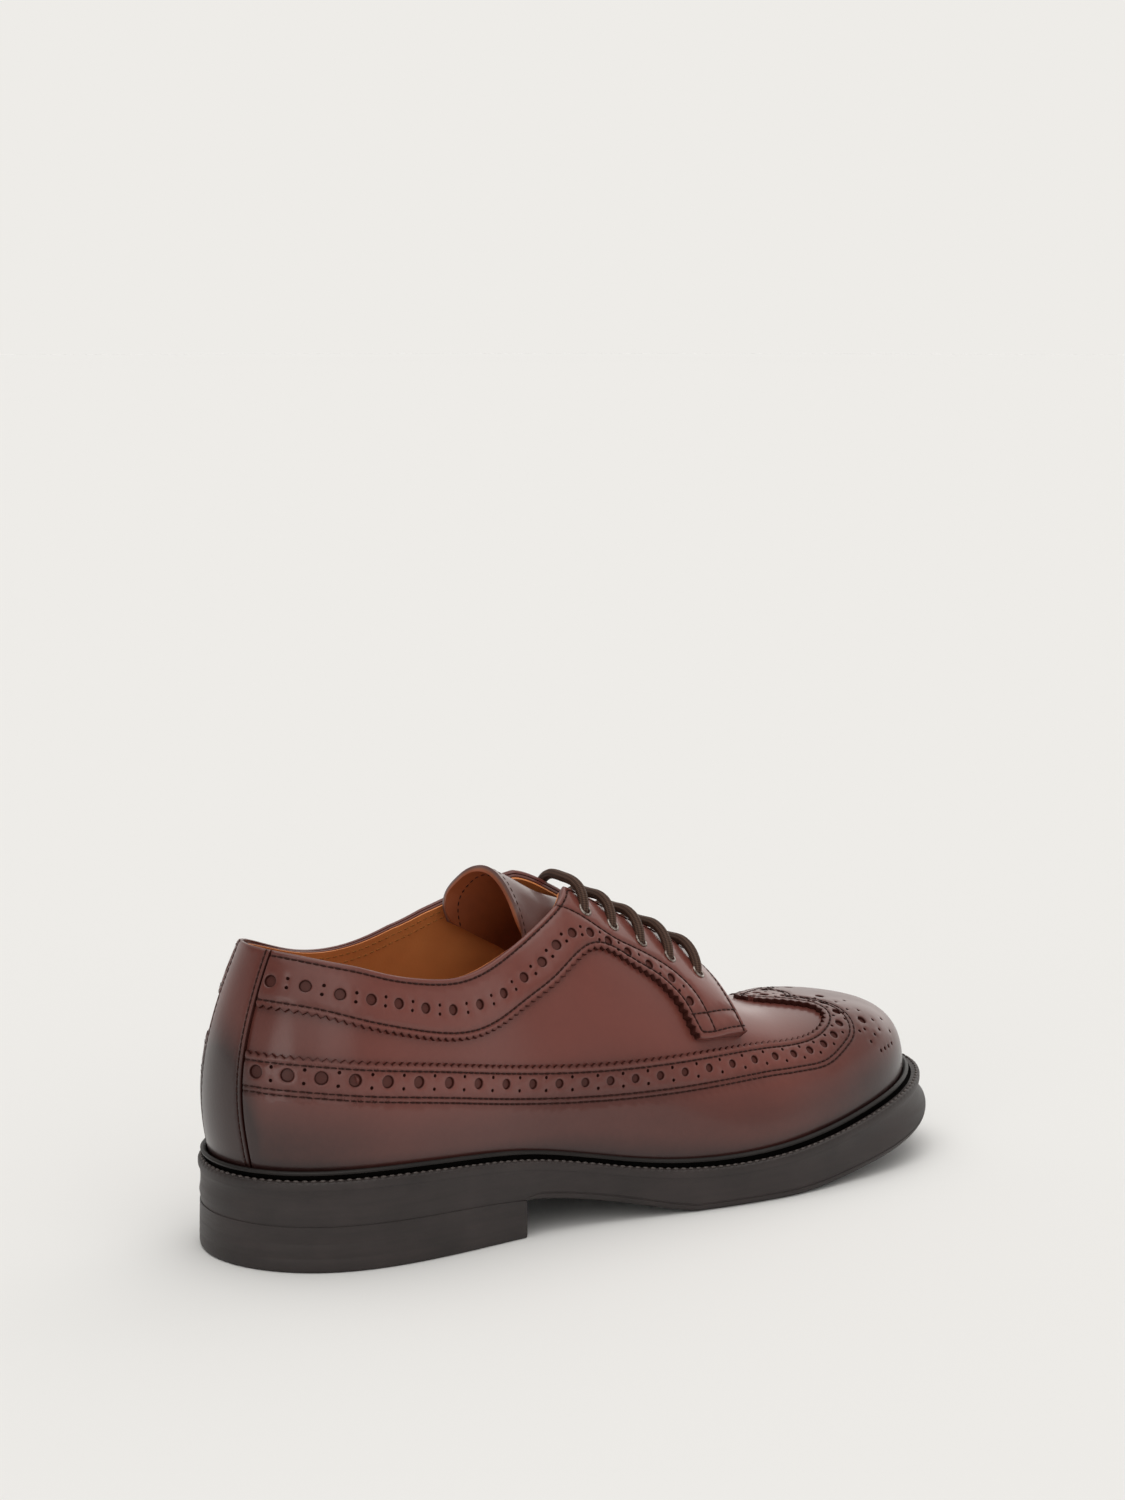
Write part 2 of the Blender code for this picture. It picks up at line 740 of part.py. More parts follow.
def quarter_grid(mirror):
    """Turns and rises of one quarter overlay: collar band and facing."""
    corner = FACING_FRONT_EDGE[0][1]
    turns = overlay_turns([0.0, *turn_at(np.array(FACING_HEEL)), corner])
    side = 1 - turns if mirror else turns
    low = rise_at(side, quarter_edge)
    reach = FACING_FRONT_EDGE[-1][1]
    high = top_rise(np.clip(side, 1 - reach, 1) if mirror else np.clip(side, 0, reach))
    rows = np.linspace(0.0, 1.0, OVERLAY_STEPS + 1)
    rises = low[:, None] + rows[None, :] * (high - low)[:, None]
    lean = smooth_step(FACING_LEAN, corner, turns)[:, None]
    away = smooth_step(0.0, STRIP_BLEND, turns)[:, None]
    ribs = turns[:, None] + lean * (facing_front(rows) - corner)[None, :] + strip_side(rises) * (1 - away)
    return (1 - ribs if mirror else ribs), rises


def make_quarter(name, mirror, surface):
    """Quarter overlay: collar band that runs up into the facing, thicker where it lies over the vamp."""
    ribs, rises = quarter_grid(mirror)
    grid = upper_point(ribs, rises, facing_gap(feather(ribs)[..., 0]))

    def share(station):
        return facing_thickness(station) / FACING_FRONT

    return sheet(name, [grid[::-1] if mirror else grid], FACING_FRONT, 1.0, surface, shares=share)


def make_heel_strip(surface):
    """Strip over the back seam, from the collar down to the welt."""
    rows = np.linspace(0.0, 1.0, STRIP_ROWS)[None, :]
    rises = OVERLAY_FOOT + rows * (top_rise(np.zeros(STRIP_COLUMNS)) - OVERLAY_FOOT)[:, None]
    ribs = np.linspace(-1.0, 1.0, STRIP_COLUMNS)[:, None] * strip_edge(rises)
    grid = upper_point(ribs, rises, np.full_like(rises, OVERLAY_GAP))
    return sheet("heel_strip", [grid], OVERLAY, 1.0, surface)


def tongue_ceiling(station, across):
    """Height that the tongue keeps under at a distance across the shoe, inside the upper's wall."""
    turn = turn_at(station)
    turn = np.where(across > 0, 1 - turn, turn)
    rise = find_rise(turn, lambda _, p: np.abs(across) - off_axis(p))
    upright = np.clip(upper_normal(turn, rise)[..., 2], 0.15, 1)
    return upper_face(turn, rise)[..., 2] - (UPPER_WALL + 4 * FIT_GAP) / upright


def make_tongue(surface):
    """Arched tongue under the throat, its rounded end above the facings."""
    stations = np.array([row[0] for row in TONGUE])
    crown, slope, curve, half = np.moveaxis(tongue_at(stations), -1, 0)
    across = half[:, None] * np.linspace(-1.0, 1.0, len(TONGUE_RIM))[None, :]
    drop = slope[:, None] * (np.hypot(across, TONGUE_TIP) - TONGUE_TIP) + curve[:, None] * across**2
    station = np.broadcast_to(stations[:, None], across.shape)
    height = crown[:, None] - drop
    covered = np.abs(across) >= np.interp(station, *np.transpose(TONGUE_FREE))
    height = np.where(covered, np.minimum(height, tongue_ceiling(station, across)), height)
    grid = np.stack([station, axis_offset(station) + across, height], -1)
    grid = np.concatenate([np.array(TONGUE_RIM)[None], grid])
    return sheet("tongue", [grid], TONGUE_WALL, -1.0, surface)


def eyelet_places():
    """Stations and distances from the axis of the eyelets, from the top of the facing to the vamp."""
    return [(EYELET_FIRST + EYELET_PITCH * k, EYELET_HALF + EYELET_SPREAD * k) for k in range(EYELETS)]


def eyelet_rib(station, mirror, half):
    """Turn and rise of a point of the facing at a distance from the shoe's axis."""
    turn = float(turn_at(station))
    turn = 1 - turn if mirror else turn
    rise = find_rise(np.array([turn]), lambda _, p: half - off_axis(p))
    return turn, float(rise[0])


def punch_eyelets(pieces):
    """Cut the eyelets through the upper and both facings."""
    for mirror in (False, True):
        for k, (station, half) in enumerate(eyelet_places()):
            turn, rise = eyelet_rib(station, mirror, half)
            spot = upper_point(turn, rise, 0.0)
            normal = upper_normal(turn, rise)
            bpy.ops.mesh.primitive_cylinder_add(
                vertices=PUNCH_SIDES, radius=0.5 * EYELET_HOLE * MM, depth=PUNCH_DEPTH * MM
            )
            punch = bpy.context.active_object
            punch.name = f"punch_{'inner' if mirror else 'outer'}_{k + 1}"
            punch.rotation_euler = Vector(normal).to_track_quat("Z", "Y").to_euler()
            punch.location = to_part(spot)
            for holder in punch.users_collection:
                holder.objects.unlink(punch)
            cutters.objects.link(punch)
            punch.hide_render = True
            punch.display_type = "WIRE"
            for piece in pieces:
                if piece.name.endswith("inner") and not mirror or piece.name.endswith("outer") and mirror:
                    continue
                cut = piece.modifiers.new(f"eyelet_{k + 1}", "BOOLEAN")
                cut.operation = "DIFFERENCE"
                cut.object = punch


def lace_path(station, reach):
    """Points of one lace bar, from eyelet to eyelet over the facings and the throat."""
    radius = 0.5 * LACE_DIAMETER
    sides = []
    for mirror in (False, True):
        points = []
        for share, extra in LACE_LIFT:
            turn, rise = eyelet_rib(station, mirror, share * reach)
            cover = float(facing_gap(station) + facing_thickness(station))
            points.append(upper_point(turn, rise, cover + radius + FIT_GAP + extra))
        sides.append(points)
    outer, inner = sides
    middle = 0.5 * (outer[-1] + inner[-1])
    middle[2] = max(outer[-1][2], inner[-1][2]) + LACE_ARCH
    return [*outer, middle, *inner[::-1]]


def make_lace_bar(number, place, surface):
    """One round bar of the straight lacing."""
    name = f"lace_bar_{number}"
    control = np.array(lace_path(*place))
    route = Curve(np.arange(len(control)), control)(np.linspace(0, len(control) - 1, LACE_POINTS))
    curve = bpy.data.curves.new(name, "CURVE")
    curve.dimensions = "3D"
    curve.bevel_depth = 0.5 * LACE_DIAMETER * MM
    curve.bevel_resolution = 2
    curve.use_fill_caps = True
    spline = curve.splines.new("POLY")
    spline.points.add(len(route) - 1)
    for point, place in zip(spline.points, to_part(route)):
        point.co = (*place, 1.0)
    curve.materials.append(surface)
    bar = bpy.data.objects.new(name, curve)
    shoe.objects.link(bar)
    return bar


def frame_origin():
    """Middle of the sole's outline on the floor."""
    turns = np.linspace(0.0, 1.0, 721)
    station = rim(turns)[:, 0]
    edge = np.concatenate([rim(turns, sole_flare(station)), rim(turns)])
    middle = 0.5 * (edge.min(axis=0) + edge.max(axis=0))
    return np.array([middle[0], middle[1], 0.0])


def clear_scene():
    """Remove every object."""
    for item in list(bpy.data.objects):
        bpy.data.objects.remove(item, do_unlink=True)


def add_collection(name):
    """New collection in the scene."""
    group = bpy.data.collections.new(name)
    bpy.context.scene.collection.children.link(group)
    return group


clear_scene()
FRAME_ORIGIN = frame_origin()
shoe = add_collection("longwing_brogue")
cutters = add_collection("cutters")

calf = material("burnished_calf", (0.165, 0.070, 0.055), 0.32)
calf_dark = material("burnished_calf_dark", (0.110, 0.045, 0.038), 0.32)
rubber = material("moulded_rubber", (0.044, 0.036, 0.034), 0.62)
welt_rubber = material("welt_rubber", (0.012, 0.010, 0.009), 0.45)
board = material("insole_leather", (0.330, 0.130, 0.045), 0.55)
waxed_cord = material("waxed_cotton", (0.045, 0.028, 0.022), 0.60)

make_outsole(rubber)
make_heel(rubber)
make_welt(welt_rubber)
make_insole(board)
upper = make_upper(calf)
make_tongue(calf_dark)
make_wing(calf)
quarter_outer = make_quarter("quarter_outer", False, calf)
quarter_inner = make_quarter("quarter_inner", True, calf)
make_heel_strip(calf_dark)
punch_eyelets([upper, quarter_outer, quarter_inner])
for bar_number, bar_place in enumerate(eyelet_places(), start=1):
    make_lace_bar(bar_number, bar_place, waxed_cord)
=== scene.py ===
"""Looks of a right longwing derby brogue: punched calf overlays on a lasted upper, welted rubber sole.

Lengths are millimetres until a mesh is made. A station is the distance from the back of the heel
towards the toe, the outer side of the foot is -Y and the floor is Z = 0. "Turn" goes round the
feather edge from the heel's back (0) along the outer side to the toe (0.5) and back (1), "rise"
goes up a rib of the upper from 0 to 1. "Flat" points are the upper unrolled like a paper pattern.
"""

import logging
import math
from collections.abc import Callable, Sequence
from dataclasses import dataclass, field
from enum import Enum
from functools import partial

import bmesh
import bpy
import numpy as np
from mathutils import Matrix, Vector, kdtree
from mathutils.geometry import delaunay_2d_cdt
from numpy.typing import NDArray


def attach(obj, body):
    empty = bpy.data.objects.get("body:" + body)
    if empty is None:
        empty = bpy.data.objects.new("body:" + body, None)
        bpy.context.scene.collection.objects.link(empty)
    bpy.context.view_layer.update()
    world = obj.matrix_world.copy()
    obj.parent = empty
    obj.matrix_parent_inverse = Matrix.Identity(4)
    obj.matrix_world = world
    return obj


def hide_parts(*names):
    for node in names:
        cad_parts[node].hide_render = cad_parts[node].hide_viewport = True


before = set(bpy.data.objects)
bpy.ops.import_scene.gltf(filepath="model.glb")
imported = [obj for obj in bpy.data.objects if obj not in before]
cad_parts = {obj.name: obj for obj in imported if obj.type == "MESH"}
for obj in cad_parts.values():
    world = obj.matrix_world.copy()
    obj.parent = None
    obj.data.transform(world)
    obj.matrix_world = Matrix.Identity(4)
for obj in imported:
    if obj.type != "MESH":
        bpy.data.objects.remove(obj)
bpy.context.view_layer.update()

Array = NDArray[np.float64]
Socket, Node, Tree, Piece = bpy.types.NodeSocket, bpy.types.Node, bpy.types.NodeTree, bpy.types.Object
log = logging.getLogger("brogue")

MM = 0.001
BODY = "root"
FRAME_ORIGIN = np.array([150.7116309979485, -0.3378057111121855, 0.0])

TRIANGLE_HEIGHT = 0.866
SAME_POINT = 1e-5
HALVINGS = 30
TURN_STEPS = 2001

# Leather and sole thicknesses
UPPER_WALL = 2.2
OVERLAY = 1.2
OVERLAY_GAP = 0.45
FIT_GAP = 0.3
LAYER_GAP = 0.05
FACING_STAND = 0.5
FACING_FRONT = 3.4
TONGUE_WALL = 2.4
WELT_THICK = 3.0
INSOLE_THICK = 4.0

# Feather edge: half breadths at each station
HEEL_BACK = 6.0
TOE_TIP = 290.5
TOE_TIP_Y = 2.5
FEATHER = (
    # station, outer, inner
    (14, 22, 22), (36, 35, 33.8), (75, 36.2, 34.5), (114, 33.8, 29), (159, 40.2, 32.5), (204, 45, 43),
    (243, 39.8, 41.6), (273, 26.6, 27.6),
)
FLANGE = ((0.0, 6.4), (40.0, 6.4), (150.0, 6.8), (240.0, 7.3), (300.0, 8.3))
SEAT = (
    # station, height
    (0, 30.6), (40, 31), (75, 29.4), (102, 26.6), (128, 21.6), (154, 16.8), (180, 15), (209, 16.4), (240, 21),
    (270, 26.6), (300, 30),
)
WAIST = ((0.0, 15.6), (60.0, 15.2), (99.0, 13.2), (129.0, 8.4), (148.0, 4.0), (158.0, 1.6), (166.0, 0.0))
TREAD_START = 166.0
SPRING_START = 205.0
SPRING_HEIGHT = 14.8
SPRING_POWER = 1.6
FLARE_HEEL = -0.3
FLARE_TOE = 3.2
FLARE_RUN = (225.0, 290.0)

# Sections of the upper
RIB_HEEL = 48.0
RIB_TOE = 250.0
RIB_BLEND = 14.0
AXIS = ((0.0, 0.0), (60.0, 0.0), (130.0, 1.0), (200.0, 2.0), (250.0, 2.5), (300.0, 2.5))
SECTIONS = (
    # station, wall_out, wall_up, shoulder_half, shoulder_drop, top_half, inner_extra
    (6, 9.8, 30, 42.3, 28, 29.8, 0), (48, 4.4, 30, 34, 24, 27, 0), (85, 2.5, 28, 31, 17, 25, 1.5),
    (108, 2, 34, 25.5, 15, 13, 3.5), (128, 2, 42, 24, 5.5, 1.5, 1), (142, 2, 45, 24, 3.5, 0, 0),
    (165, 2.5, 41, 22.5, 4, 0, 0), (190, 3, 33, 21.5, 4.5, 0, 0), (210, 3, 31, 25, 0, 0, 0),
    (232, 2.4, 28, 28, 0, 0, 0), (260, 2, 25, 29.5, 0, 0, 0), (290.5, 2.2, 21.5, 30, 0, 0, 0),
)
CROWN = (
    # station, outer height, inner height
    (5, 112, 112), (48, 104, 104), (85, 95, 99), (108, 105, 111), (128, 116.5, 118.5), (142, 112, 112.5),
    (165, 98.6, 98.6), (190, 81.8, 81.8), (204, 68.6, 68.6), (218, 61.2, 61.2), (235, 59.1, 59.1),
    (250, 57.8, 57.8), (264, 56.2, 56.2),
)
COLLAR = (
    # station, outer height, inner height
    (10, 106.4, 106.4), (25, 102.8, 101.6), (38, 99.8, 97.4), (51, 95.7, 94), (64, 92.7, 93.4),
    (78, 91.1, 96.1), (90, 92.1, 101), (102, 94.9, 106.3), (112, 98.8, 110.9), (122, 104.3, 115),
    (131, 109.5, 118.5), (150, 121, 126),
)
THROAT_TOP = 110.0
THROAT_END = 198.0
THROAT_HALF = ((110.0, 8.5), (130.0, 7.8), (200.0, 4.6))

# Lines of the overlays on the upper
OVERLAY_FOOT = 0.02
STRIP_EDGE = (
    # rise, turn
    (0, 0.0262), (0.1, 0.0258), (0.2, 0.0245), (0.34, 0.0228), (0.7, 0.0230), (0.86, 0.0246), (1, 0.0275),
)
STRIP_CLEAR = 0.0012
ROW_PITCH = 2.0
STRIP_BLEND = 0.12
WING_EDGE = (
    # station, height
    (0, 72.7), (20, 71), (51, 66.9), (75, 62.9), (101, 58.2), (134, 54.9), (167, 53.9), (188, 53.2),
    (206.5, 52), (219, 51), (232, 51.4),
)
WING_TOE = (222.0, 240.0)
WING_PEAK = (
    # turn, rise from the bend back to the point on the ridge
    (0.3687, 0.532), (0.3790, 0.560), (0.3875, 0.602), (0.3933, 0.643), (0.3975, 0.690), (0.3990, 0.740),
    (0.3975, 0.787), (0.3920, 0.826), (0.3840, 0.868), (0.3750, 0.906), (0.3660, 0.950), (0.3600, 1),
)
QUARTER_EDGE = (
    # station, height
    (0, 88.5), (20, 85), (34, 81.3), (51, 76.6), (66, 72.8), (80, 71), (95, 72.9), (110, 78.5), (122, 84.5),
    (131, 90.4), (138.5, 92.9), (146, 90.9), (156, 84.3), (164, 78.5), (169, 72.8), (172, 66.6), (174, 59.6),
    (176, 57.6), (188, 56.6), (206, 54.2),
)
# Rows drawn on the quarter and the facing: station, height
QUARTER_ROW = (
    (13.2, 95.6), (16, 95), (32, 91.4), (51, 86.6), (73, 81.3), (85, 81), (97, 82.5), (107.5, 86.2),
    (116.5, 90.6), (123.5, 95.6), (130.5, 98.8), (138, 98.2), (146, 94.1), (154, 89.1), (163, 83.1),
    (171, 76.8), (175.3, 68.6), (175.9, 66.8),
)
FACING_STITCH = (
    (128.6, 107.6), (138.6, 102.4), (148.8, 95), (156.6, 90.6), (163, 86.8), (169.8, 81.9), (175, 76.9),
    (179, 71.1), (180.6, 66.5), (181.6, 62), (182.2, 58.9),
)
FACING_CROSS = ((173.6, 65.7), (180.5, 64.8), (187.6, 63.9), (195.6, 62.3))
FACING_FRONT_EDGE = ((0.0, 0.3255), (0.45, 0.3240), (0.75, 0.3235), (1.0, 0.3205))
# Toe ornament on the flat pattern's outer half: along, across, radius
MEDALLION = (
    (252.8, -6.7, 1.5), (257.7, -26.1, 1.6), (240.6, -7, 0.55), (244.3, -10.7, 0.55), (249.2, -13.4, 0.55),
    (254.7, -14, 0.55), (260, -12.4, 0.55), (255.1, -20.1, 0.55), (251.7, -22, 0.55), (260.1, -20.5, 0.55),
    (263.7, -25.2, 0.6), (270.3, -22.5, 0.6), (256, -30.6, 0.6), (252.9, -31.5, 0.6), (264.6, -29.3, 0.6),
    (272.7, -27, 0.6), (260.5, -32.2, 0.6), (256.8, -35.4, 0.6), (271.5, -32.4, 0.65), (261.9, -37.9, 0.65),
    (265, -36.4, 0.65), (268.1, -34.7, 0.65),
)
# Lower double row round the wing's bend, and the arch between its ends, on the flat pattern
TOE_ROW = (
    (231.8, -41.8), (243.1, -35.7), (248.2, -31.6), (250.9, -25.2), (250.7, -18.6), (247.5, -11.9),
    (242.7, -7.2), (238.4, -4.9),
)
TOE_ARCH = ((238.4, -4.9), (240.4, -2.0), (241.7, 0.6), (242.0, 2.5))
FACING_LIFT = (150.0, 194.0)

# Eyelets, lace and tongue
EYELETS = 5
EYELET_FIRST = 140.0
EYELET_PITCH = 11.4
EYELET_HALF = 15.0
EYELET_SPREAD = 0.9
EYELET_HOLE = 3.6
LACE_DIAMETER = 3.2
LACE_ARCH = 0.1
LACE_LIFT = ((1.0, 0.1), (0.7, 0.1), (0.36, -0.05))
TONGUE_RIM = (
    # station, across, height of the tongue's end, from the outer to the inner side
    (114.8, -13.9, 98.3), (115, -13.6, 102), (114.2, -12.4, 107.5), (113.4, -9.2, 112.9), (112.2, -5.2, 118.1),
    (110, 1, 121.9), (106.3, 7, 120.8), (103.8, 12, 116.5), (102, 15.1, 112.1), (101.2, 16.2, 106.5),
    (103, 16.1, 100.5),
)
TONGUE = (
    # station, crown height, slope, curve, half breadth
    (121, 116, 0.36, 0.058, 18), (130, 111, 0.36, 0.045, 20), (142, 106.5, 0.35, 0.036, 22),
    (150, 102, 0.30, 0.032, 23), (165, 93, 0.25, 0.0245, 24), (180, 84, 0.23, 0.0185, 24),
    (195, 73.8, 0.12, 0.016, 22), (207, 65.2, 0.05, 0.0145, 18),
)
TONGUE_TIP = 4.0
TONGUE_END = 110.0
TONGUE_RUB = 0.25
SOLE_CREASE = 38.0

# Darker tone of the calf, burnished at the heel and the toe, and darker low on the heel and towards the welt:
# strength, and the stations or rises between which it fades
RUB_BASE = 0.05
HEEL_RUB = ((0.34, 10.0, 50.0), (0.22, 4.0, 10.0))
LOW_HEEL_DARKENING = ((0.42, 3.0, 9.0),)
LOW_HEEL_RISE = ((1.0, 0.45, 0.66),)
TOE_RUB = (0.43, 206.0, 262.0)
FOOT_DARKENING = ((0.48, 0.12, 0.38), (0.4, 0.03, 0.12))
TONGUE_FREE = ((112.0, 14.0), (124.0, 8.0), (130.0, 4.7), (186.0, 3.0), (190.0, 0.0), (207.0, 0.0))


class Side(Enum):
    """Side of the foot, with the sign of its Y."""

    OUTER = -1
    INNER = 1


class EdgeKind(Enum):
    """How the edge of a leather panel is finished."""

    PLAIN = "plain"
    GIMPED = "gimped"
    FOLDED = "folded"


class Slot(Enum):
    """Material slots of the record."""

    SOLE = "sole_rubber"
    WELT = "welt_rubber"
    INSOLE = "insole_leather"
    UPPER = "upper_leather"
    TONGUE = "tongue_leather"
    LACE = "lace_cord"


class Curve:
    """Cubic spline through rows of values; a closed one comes back to its first row smoothly."""

    def __init__(self, knots: Sequence[float], values: Sequence, closed: bool = False) -> None:
        """Solve the spline's tangents.

        Args:
            knots: places of the rows along the curve.
            values: one number or one row of numbers for each knot.
            closed: whether the last row meets the first one smoothly.
        """
        self.knots = np.asarray(knots, float)
        table = np.asarray(values, float)
        self.single = table.ndim == 1
        self.values = table[:, None] if self.single else table.reshape(len(table), -1)
        self.shape = table.shape[1:]
        steps = np.diff(self.knots)
        slopes = np.diff(self.values, axis=0) / steps[:, None]
        count = len(self.knots)
        matrix = np.zeros((count, count))
        right = np.zeros_like(self.values)
        for i in range(1, count - 1):
            matrix[i, i - 1 : i + 2] = steps[i], 2 * (steps[i - 1] + steps[i]), steps[i - 1]
            right[i] = 3 * (steps[i] * slopes[i - 1] + steps[i - 1] * slopes[i])
        if closed:
            matrix[0, 0] = 1
            matrix[0, -1] = -1
            matrix[-1, :2] = 2 / steps[0], 1 / steps[0]
            matrix[-1, -2:] = 1 / steps[-1], 2 / steps[-1]
            right[-1] = 3 * (slopes[0] / steps[0] + slopes[-1] / steps[-1])
        else:
            matrix[0, :2] = 2, 1
            right[0] = 3 * slopes[0]
            matrix[-1, -2:] = 1, 2
            right[-1] = 3 * slopes[-1]
        self.tangents = np.linalg.solve(matrix, right)

    def __call__(self, where: Array | float) -> Array:
        """Values at places along the curve.

        Args:
            where: places, held between the first and the last knot.

        Returns:
            One value or row for each place.
        """
        where = np.clip(np.asarray(where, float), self.knots[0], self.knots[-1])
        i = np.clip(np.searchsorted(self.knots, where, side="right") - 1, 0, len(self.knots) - 2)
        step = (self.knots[i + 1] - self.knots[i])[..., None]
        t = (where - self.knots[i])[..., None] / step
        result = (
            self.values[i] * (1 + 2 * t) * (1 - t) ** 2
            + self.tangents[i] * step * t * (1 - t) ** 2
            + self.values[i + 1] * t * t * (3 - 2 * t)
            + self.tangents[i + 1] * step * t * t * (t - 1)
        )
        return result[..., 0] if self.single else result.reshape(where.shape + self.shape)


def table_curve(rows: Sequence[Sequence[float]]) -> Curve:
    """Curve through a table whose first column is the place along it."""
    data = np.array(rows, float)
    return Curve(data[:, 0], data[:, 1] if data.shape[1] == 2 else data[:, 1:])


def smooth_step(low: float, high: float, value: Array | float) -> Array:
    """0 at low, 1 at high and smooth between them."""
    t = np.clip((np.asarray(value, float) - low) / (high - low), 0, 1)
    return t * t * (3 - 2 * t)


def unit(vectors: Array) -> Array:
    """Vectors of length 1."""
    return vectors / np.maximum(np.linalg.norm(vectors, axis=-1, keepdims=True), 1e-12)


def lift(plan: Array, height: Array) -> Array:
    """Plan points with heights."""
    return np.concatenate([plan, np.asarray(height, float)[..., None]], -1)


def lengths(points: Array) -> Array:
    """Distance of each point of a line from its start, along the line."""
    return np.concatenate([[0.0], np.cumsum(np.linalg.norm(np.diff(points, axis=0), axis=1))])


def at_lengths(rows: Array, length: Array, where: Array) -> Array:
    """Rows of a line at places along its length."""
    return np.stack([np.interp(where, length, column) for column in rows.T], -1)


def point_tree(points: Array) -> kdtree.KDTree:
    """Search tree of plan points.

    Args:
        points: the points, two numbers each.

    Returns:
        The balanced tree.
    """
    tree = kdtree.KDTree(len(points))
    for i, (x, y) in enumerate(points):
        tree.insert((x, y, 0.0), i)
    tree.balance()
    return tree


def spline_through(points: Array, count: int, closed: bool = False) -> Array:
    """Smooth line through points.

    Args:
        points: rows of coordinates.
        count: number of points of the new line.
        closed: whether the line comes back to its start.

    Returns:
        The new line's points.
    """
    rows = np.concatenate([points, points[:1]]) if closed else points
    chords = np.sqrt(np.linalg.norm(np.diff(rows, axis=0), axis=1))
    knots = np.concatenate([[0.0], np.cumsum(chords)])
    where = np.linspace(0.0, knots[-1], count, endpoint=not closed)
    return Curve(knots, rows, closed)(where)


class LastSurface:
    """Outer face of the lasted upper, the sole's outline, and the upper unrolled flat."""

    GRID = (481, 61)
    NODES, WEIGHTS = np.polynomial.legendre.leggauss(10)

    def __init__(self) -> None:
        """Build the curves and the table of starting places for unrolling."""
        tip = (TOE_TIP, TOE_TIP_Y)
        outer = np.array([(HEEL_BACK, 0.0)] + [(x, -out) for x, out, _ in FEATHER] + [tip])
        inner = np.array([(HEEL_BACK, 0.0)] + [(x, side) for x, _, side in FEATHER] + [tip])
        chords = [np.sqrt(np.linalg.norm(np.diff(side, axis=0), axis=1)) for side in (outer, inner)]
        knots = np.concatenate([[0.0], np.cumsum(chords[0] + chords[1])])
        knots *= 0.5 / knots[-1]
        loop = np.concatenate([outer, inner[-2::-1]])
        self.feather_line = Curve(np.concatenate([knots, 1 - knots[-2::-1]]), loop, True)
        self.flange_width, self.seat, self.waist, self.axis = map(table_curve, (FLANGE, SEAT, WAIST, AXIS))
        self.section, self.crown, self.collar = map(table_curve, (SECTIONS, CROWN, COLLAR))
        self.throat_half = table_curve(THROAT_HALF)
        turns, rises = np.meshgrid(np.linspace(0, 1, self.GRID[0]), np.linspace(0, 1, self.GRID[1]))
        self.start = np.stack([turns.ravel(), rises.ravel()], -1)
        self.tree = point_tree(self.flat(self.start[:, 0], self.start[:, 1]))

    def feather(self, turn: Array | float) -> Array:
        """Plan point of the feather edge."""
        return self.feather_line(np.asarray(turn, float) % 1.0)

    def station(self, turn: Array | float) -> Array:
        """Station of a rib's foot."""
        return self.feather(turn)[..., 0]

    def outward(self, turn: Array, step: float = 1e-4) -> Array:
        """Plan direction that points out of the feather edge."""
        along = self.feather(np.asarray(turn) + step) - self.feather(np.asarray(turn) - step)
        return unit(np.stack([along[..., 1], -along[..., 0]], -1))

    def rim(self, turn: Array, out: Array | float = 0.0) -> Array:
        """Plan point of the sole's rim, or of a line that lies further out."""
        edge = self.feather(turn)
        return edge + self.outward(turn) * (self.flange_width(edge[..., 0]) + out)[..., None]

    def underside(self, station: Array) -> Array:
        """Height of the outsole's underside.

        Args:
            station: stations along the sole.

        Returns:
            Heights over the floor.
        """
        station = np.asarray(station, float)
        spring = np.clip((station - SPRING_START) / (TOE_TIP - SPRING_START), 0, None) ** SPRING_POWER
        return np.where(station < TREAD_START, self.waist(station), SPRING_HEIGHT * spring)

    def flare(self, station: Array) -> Array:
        """How far the foot of the sole's wall stands out from the rim."""
        return FLARE_HEEL + (FLARE_TOE - FLARE_HEEL) * smooth_step(*FLARE_RUN, station)

    def rib(self, turn: Array) -> tuple[Array, Array, Array, Array]:
        """Centre, direction, half breadths and heights of the ribs' control points.

        Args:
            turn: turns round the feather edge.

        Returns:
            Centres and directions in plan, then four half breadths and four heights for each rib.
        """
        turn = np.asarray(turn, float) % 1.0
        foot = self.feather(turn)
        station = foot[..., 0]
        over = np.stack([RIB_HEEL - station, station - RIB_TOE])
        bend = 0.5 * (over + np.sqrt(over * over + RIB_BLEND * RIB_BLEND))
        centre_x = station + bend[0] - bend[1]
        centre = np.stack([centre_x, self.axis(centre_x)], -1)
        reach = foot - centre
        half = np.linalg.norm(reach, axis=-1)
        reach = reach / half[..., None]
        wall_out, wall_up, shoulder, drop, top, extra = np.moveaxis(self.section(station), -1, 0)
        inner = (turn > 0.5).astype(int)
        spread = np.maximum(extra, 0) * inner
        crown_x = np.minimum(station, centre_x)
        crown, ahead, behind = (
            np.take_along_axis(self.crown(crown_x + step), inner[..., None], -1)[..., 0]
            for step in (0.0, 0.5, -0.5)
        )
        fall = (ahead - behind) * np.clip(reach[..., 0], 0, 1)
        seat = self.seat(station)
        halves = np.stack([half, half + wall_out, shoulder + spread, np.maximum(top, 0) + spread], -1)
        heights = np.stack([seat - WELT_THICK, seat + wall_up, crown - drop + fall * shoulder, crown], -1)
        return centre, reach, halves, heights

    def face(self, turn: Array, rise: Array) -> Array:
        """Point of the upper's outer face.

        Args:
            turn: turns round the feather edge.
            rise: rises on the ribs.

        Returns:
            Points in space.
        """
        turn, rise = np.broadcast_arrays(np.asarray(turn, float), np.asarray(rise, float))
        centre, reach, halves, heights = self.rib(turn)
        left = 1 - rise
        weights = np.stack([left**3, 3 * rise * left**2, 3 * rise * rise * left, rise**3], -1)
        plan = centre + reach * (weights * halves).sum(-1)[..., None]
        return lift(plan, (weights * heights).sum(-1))

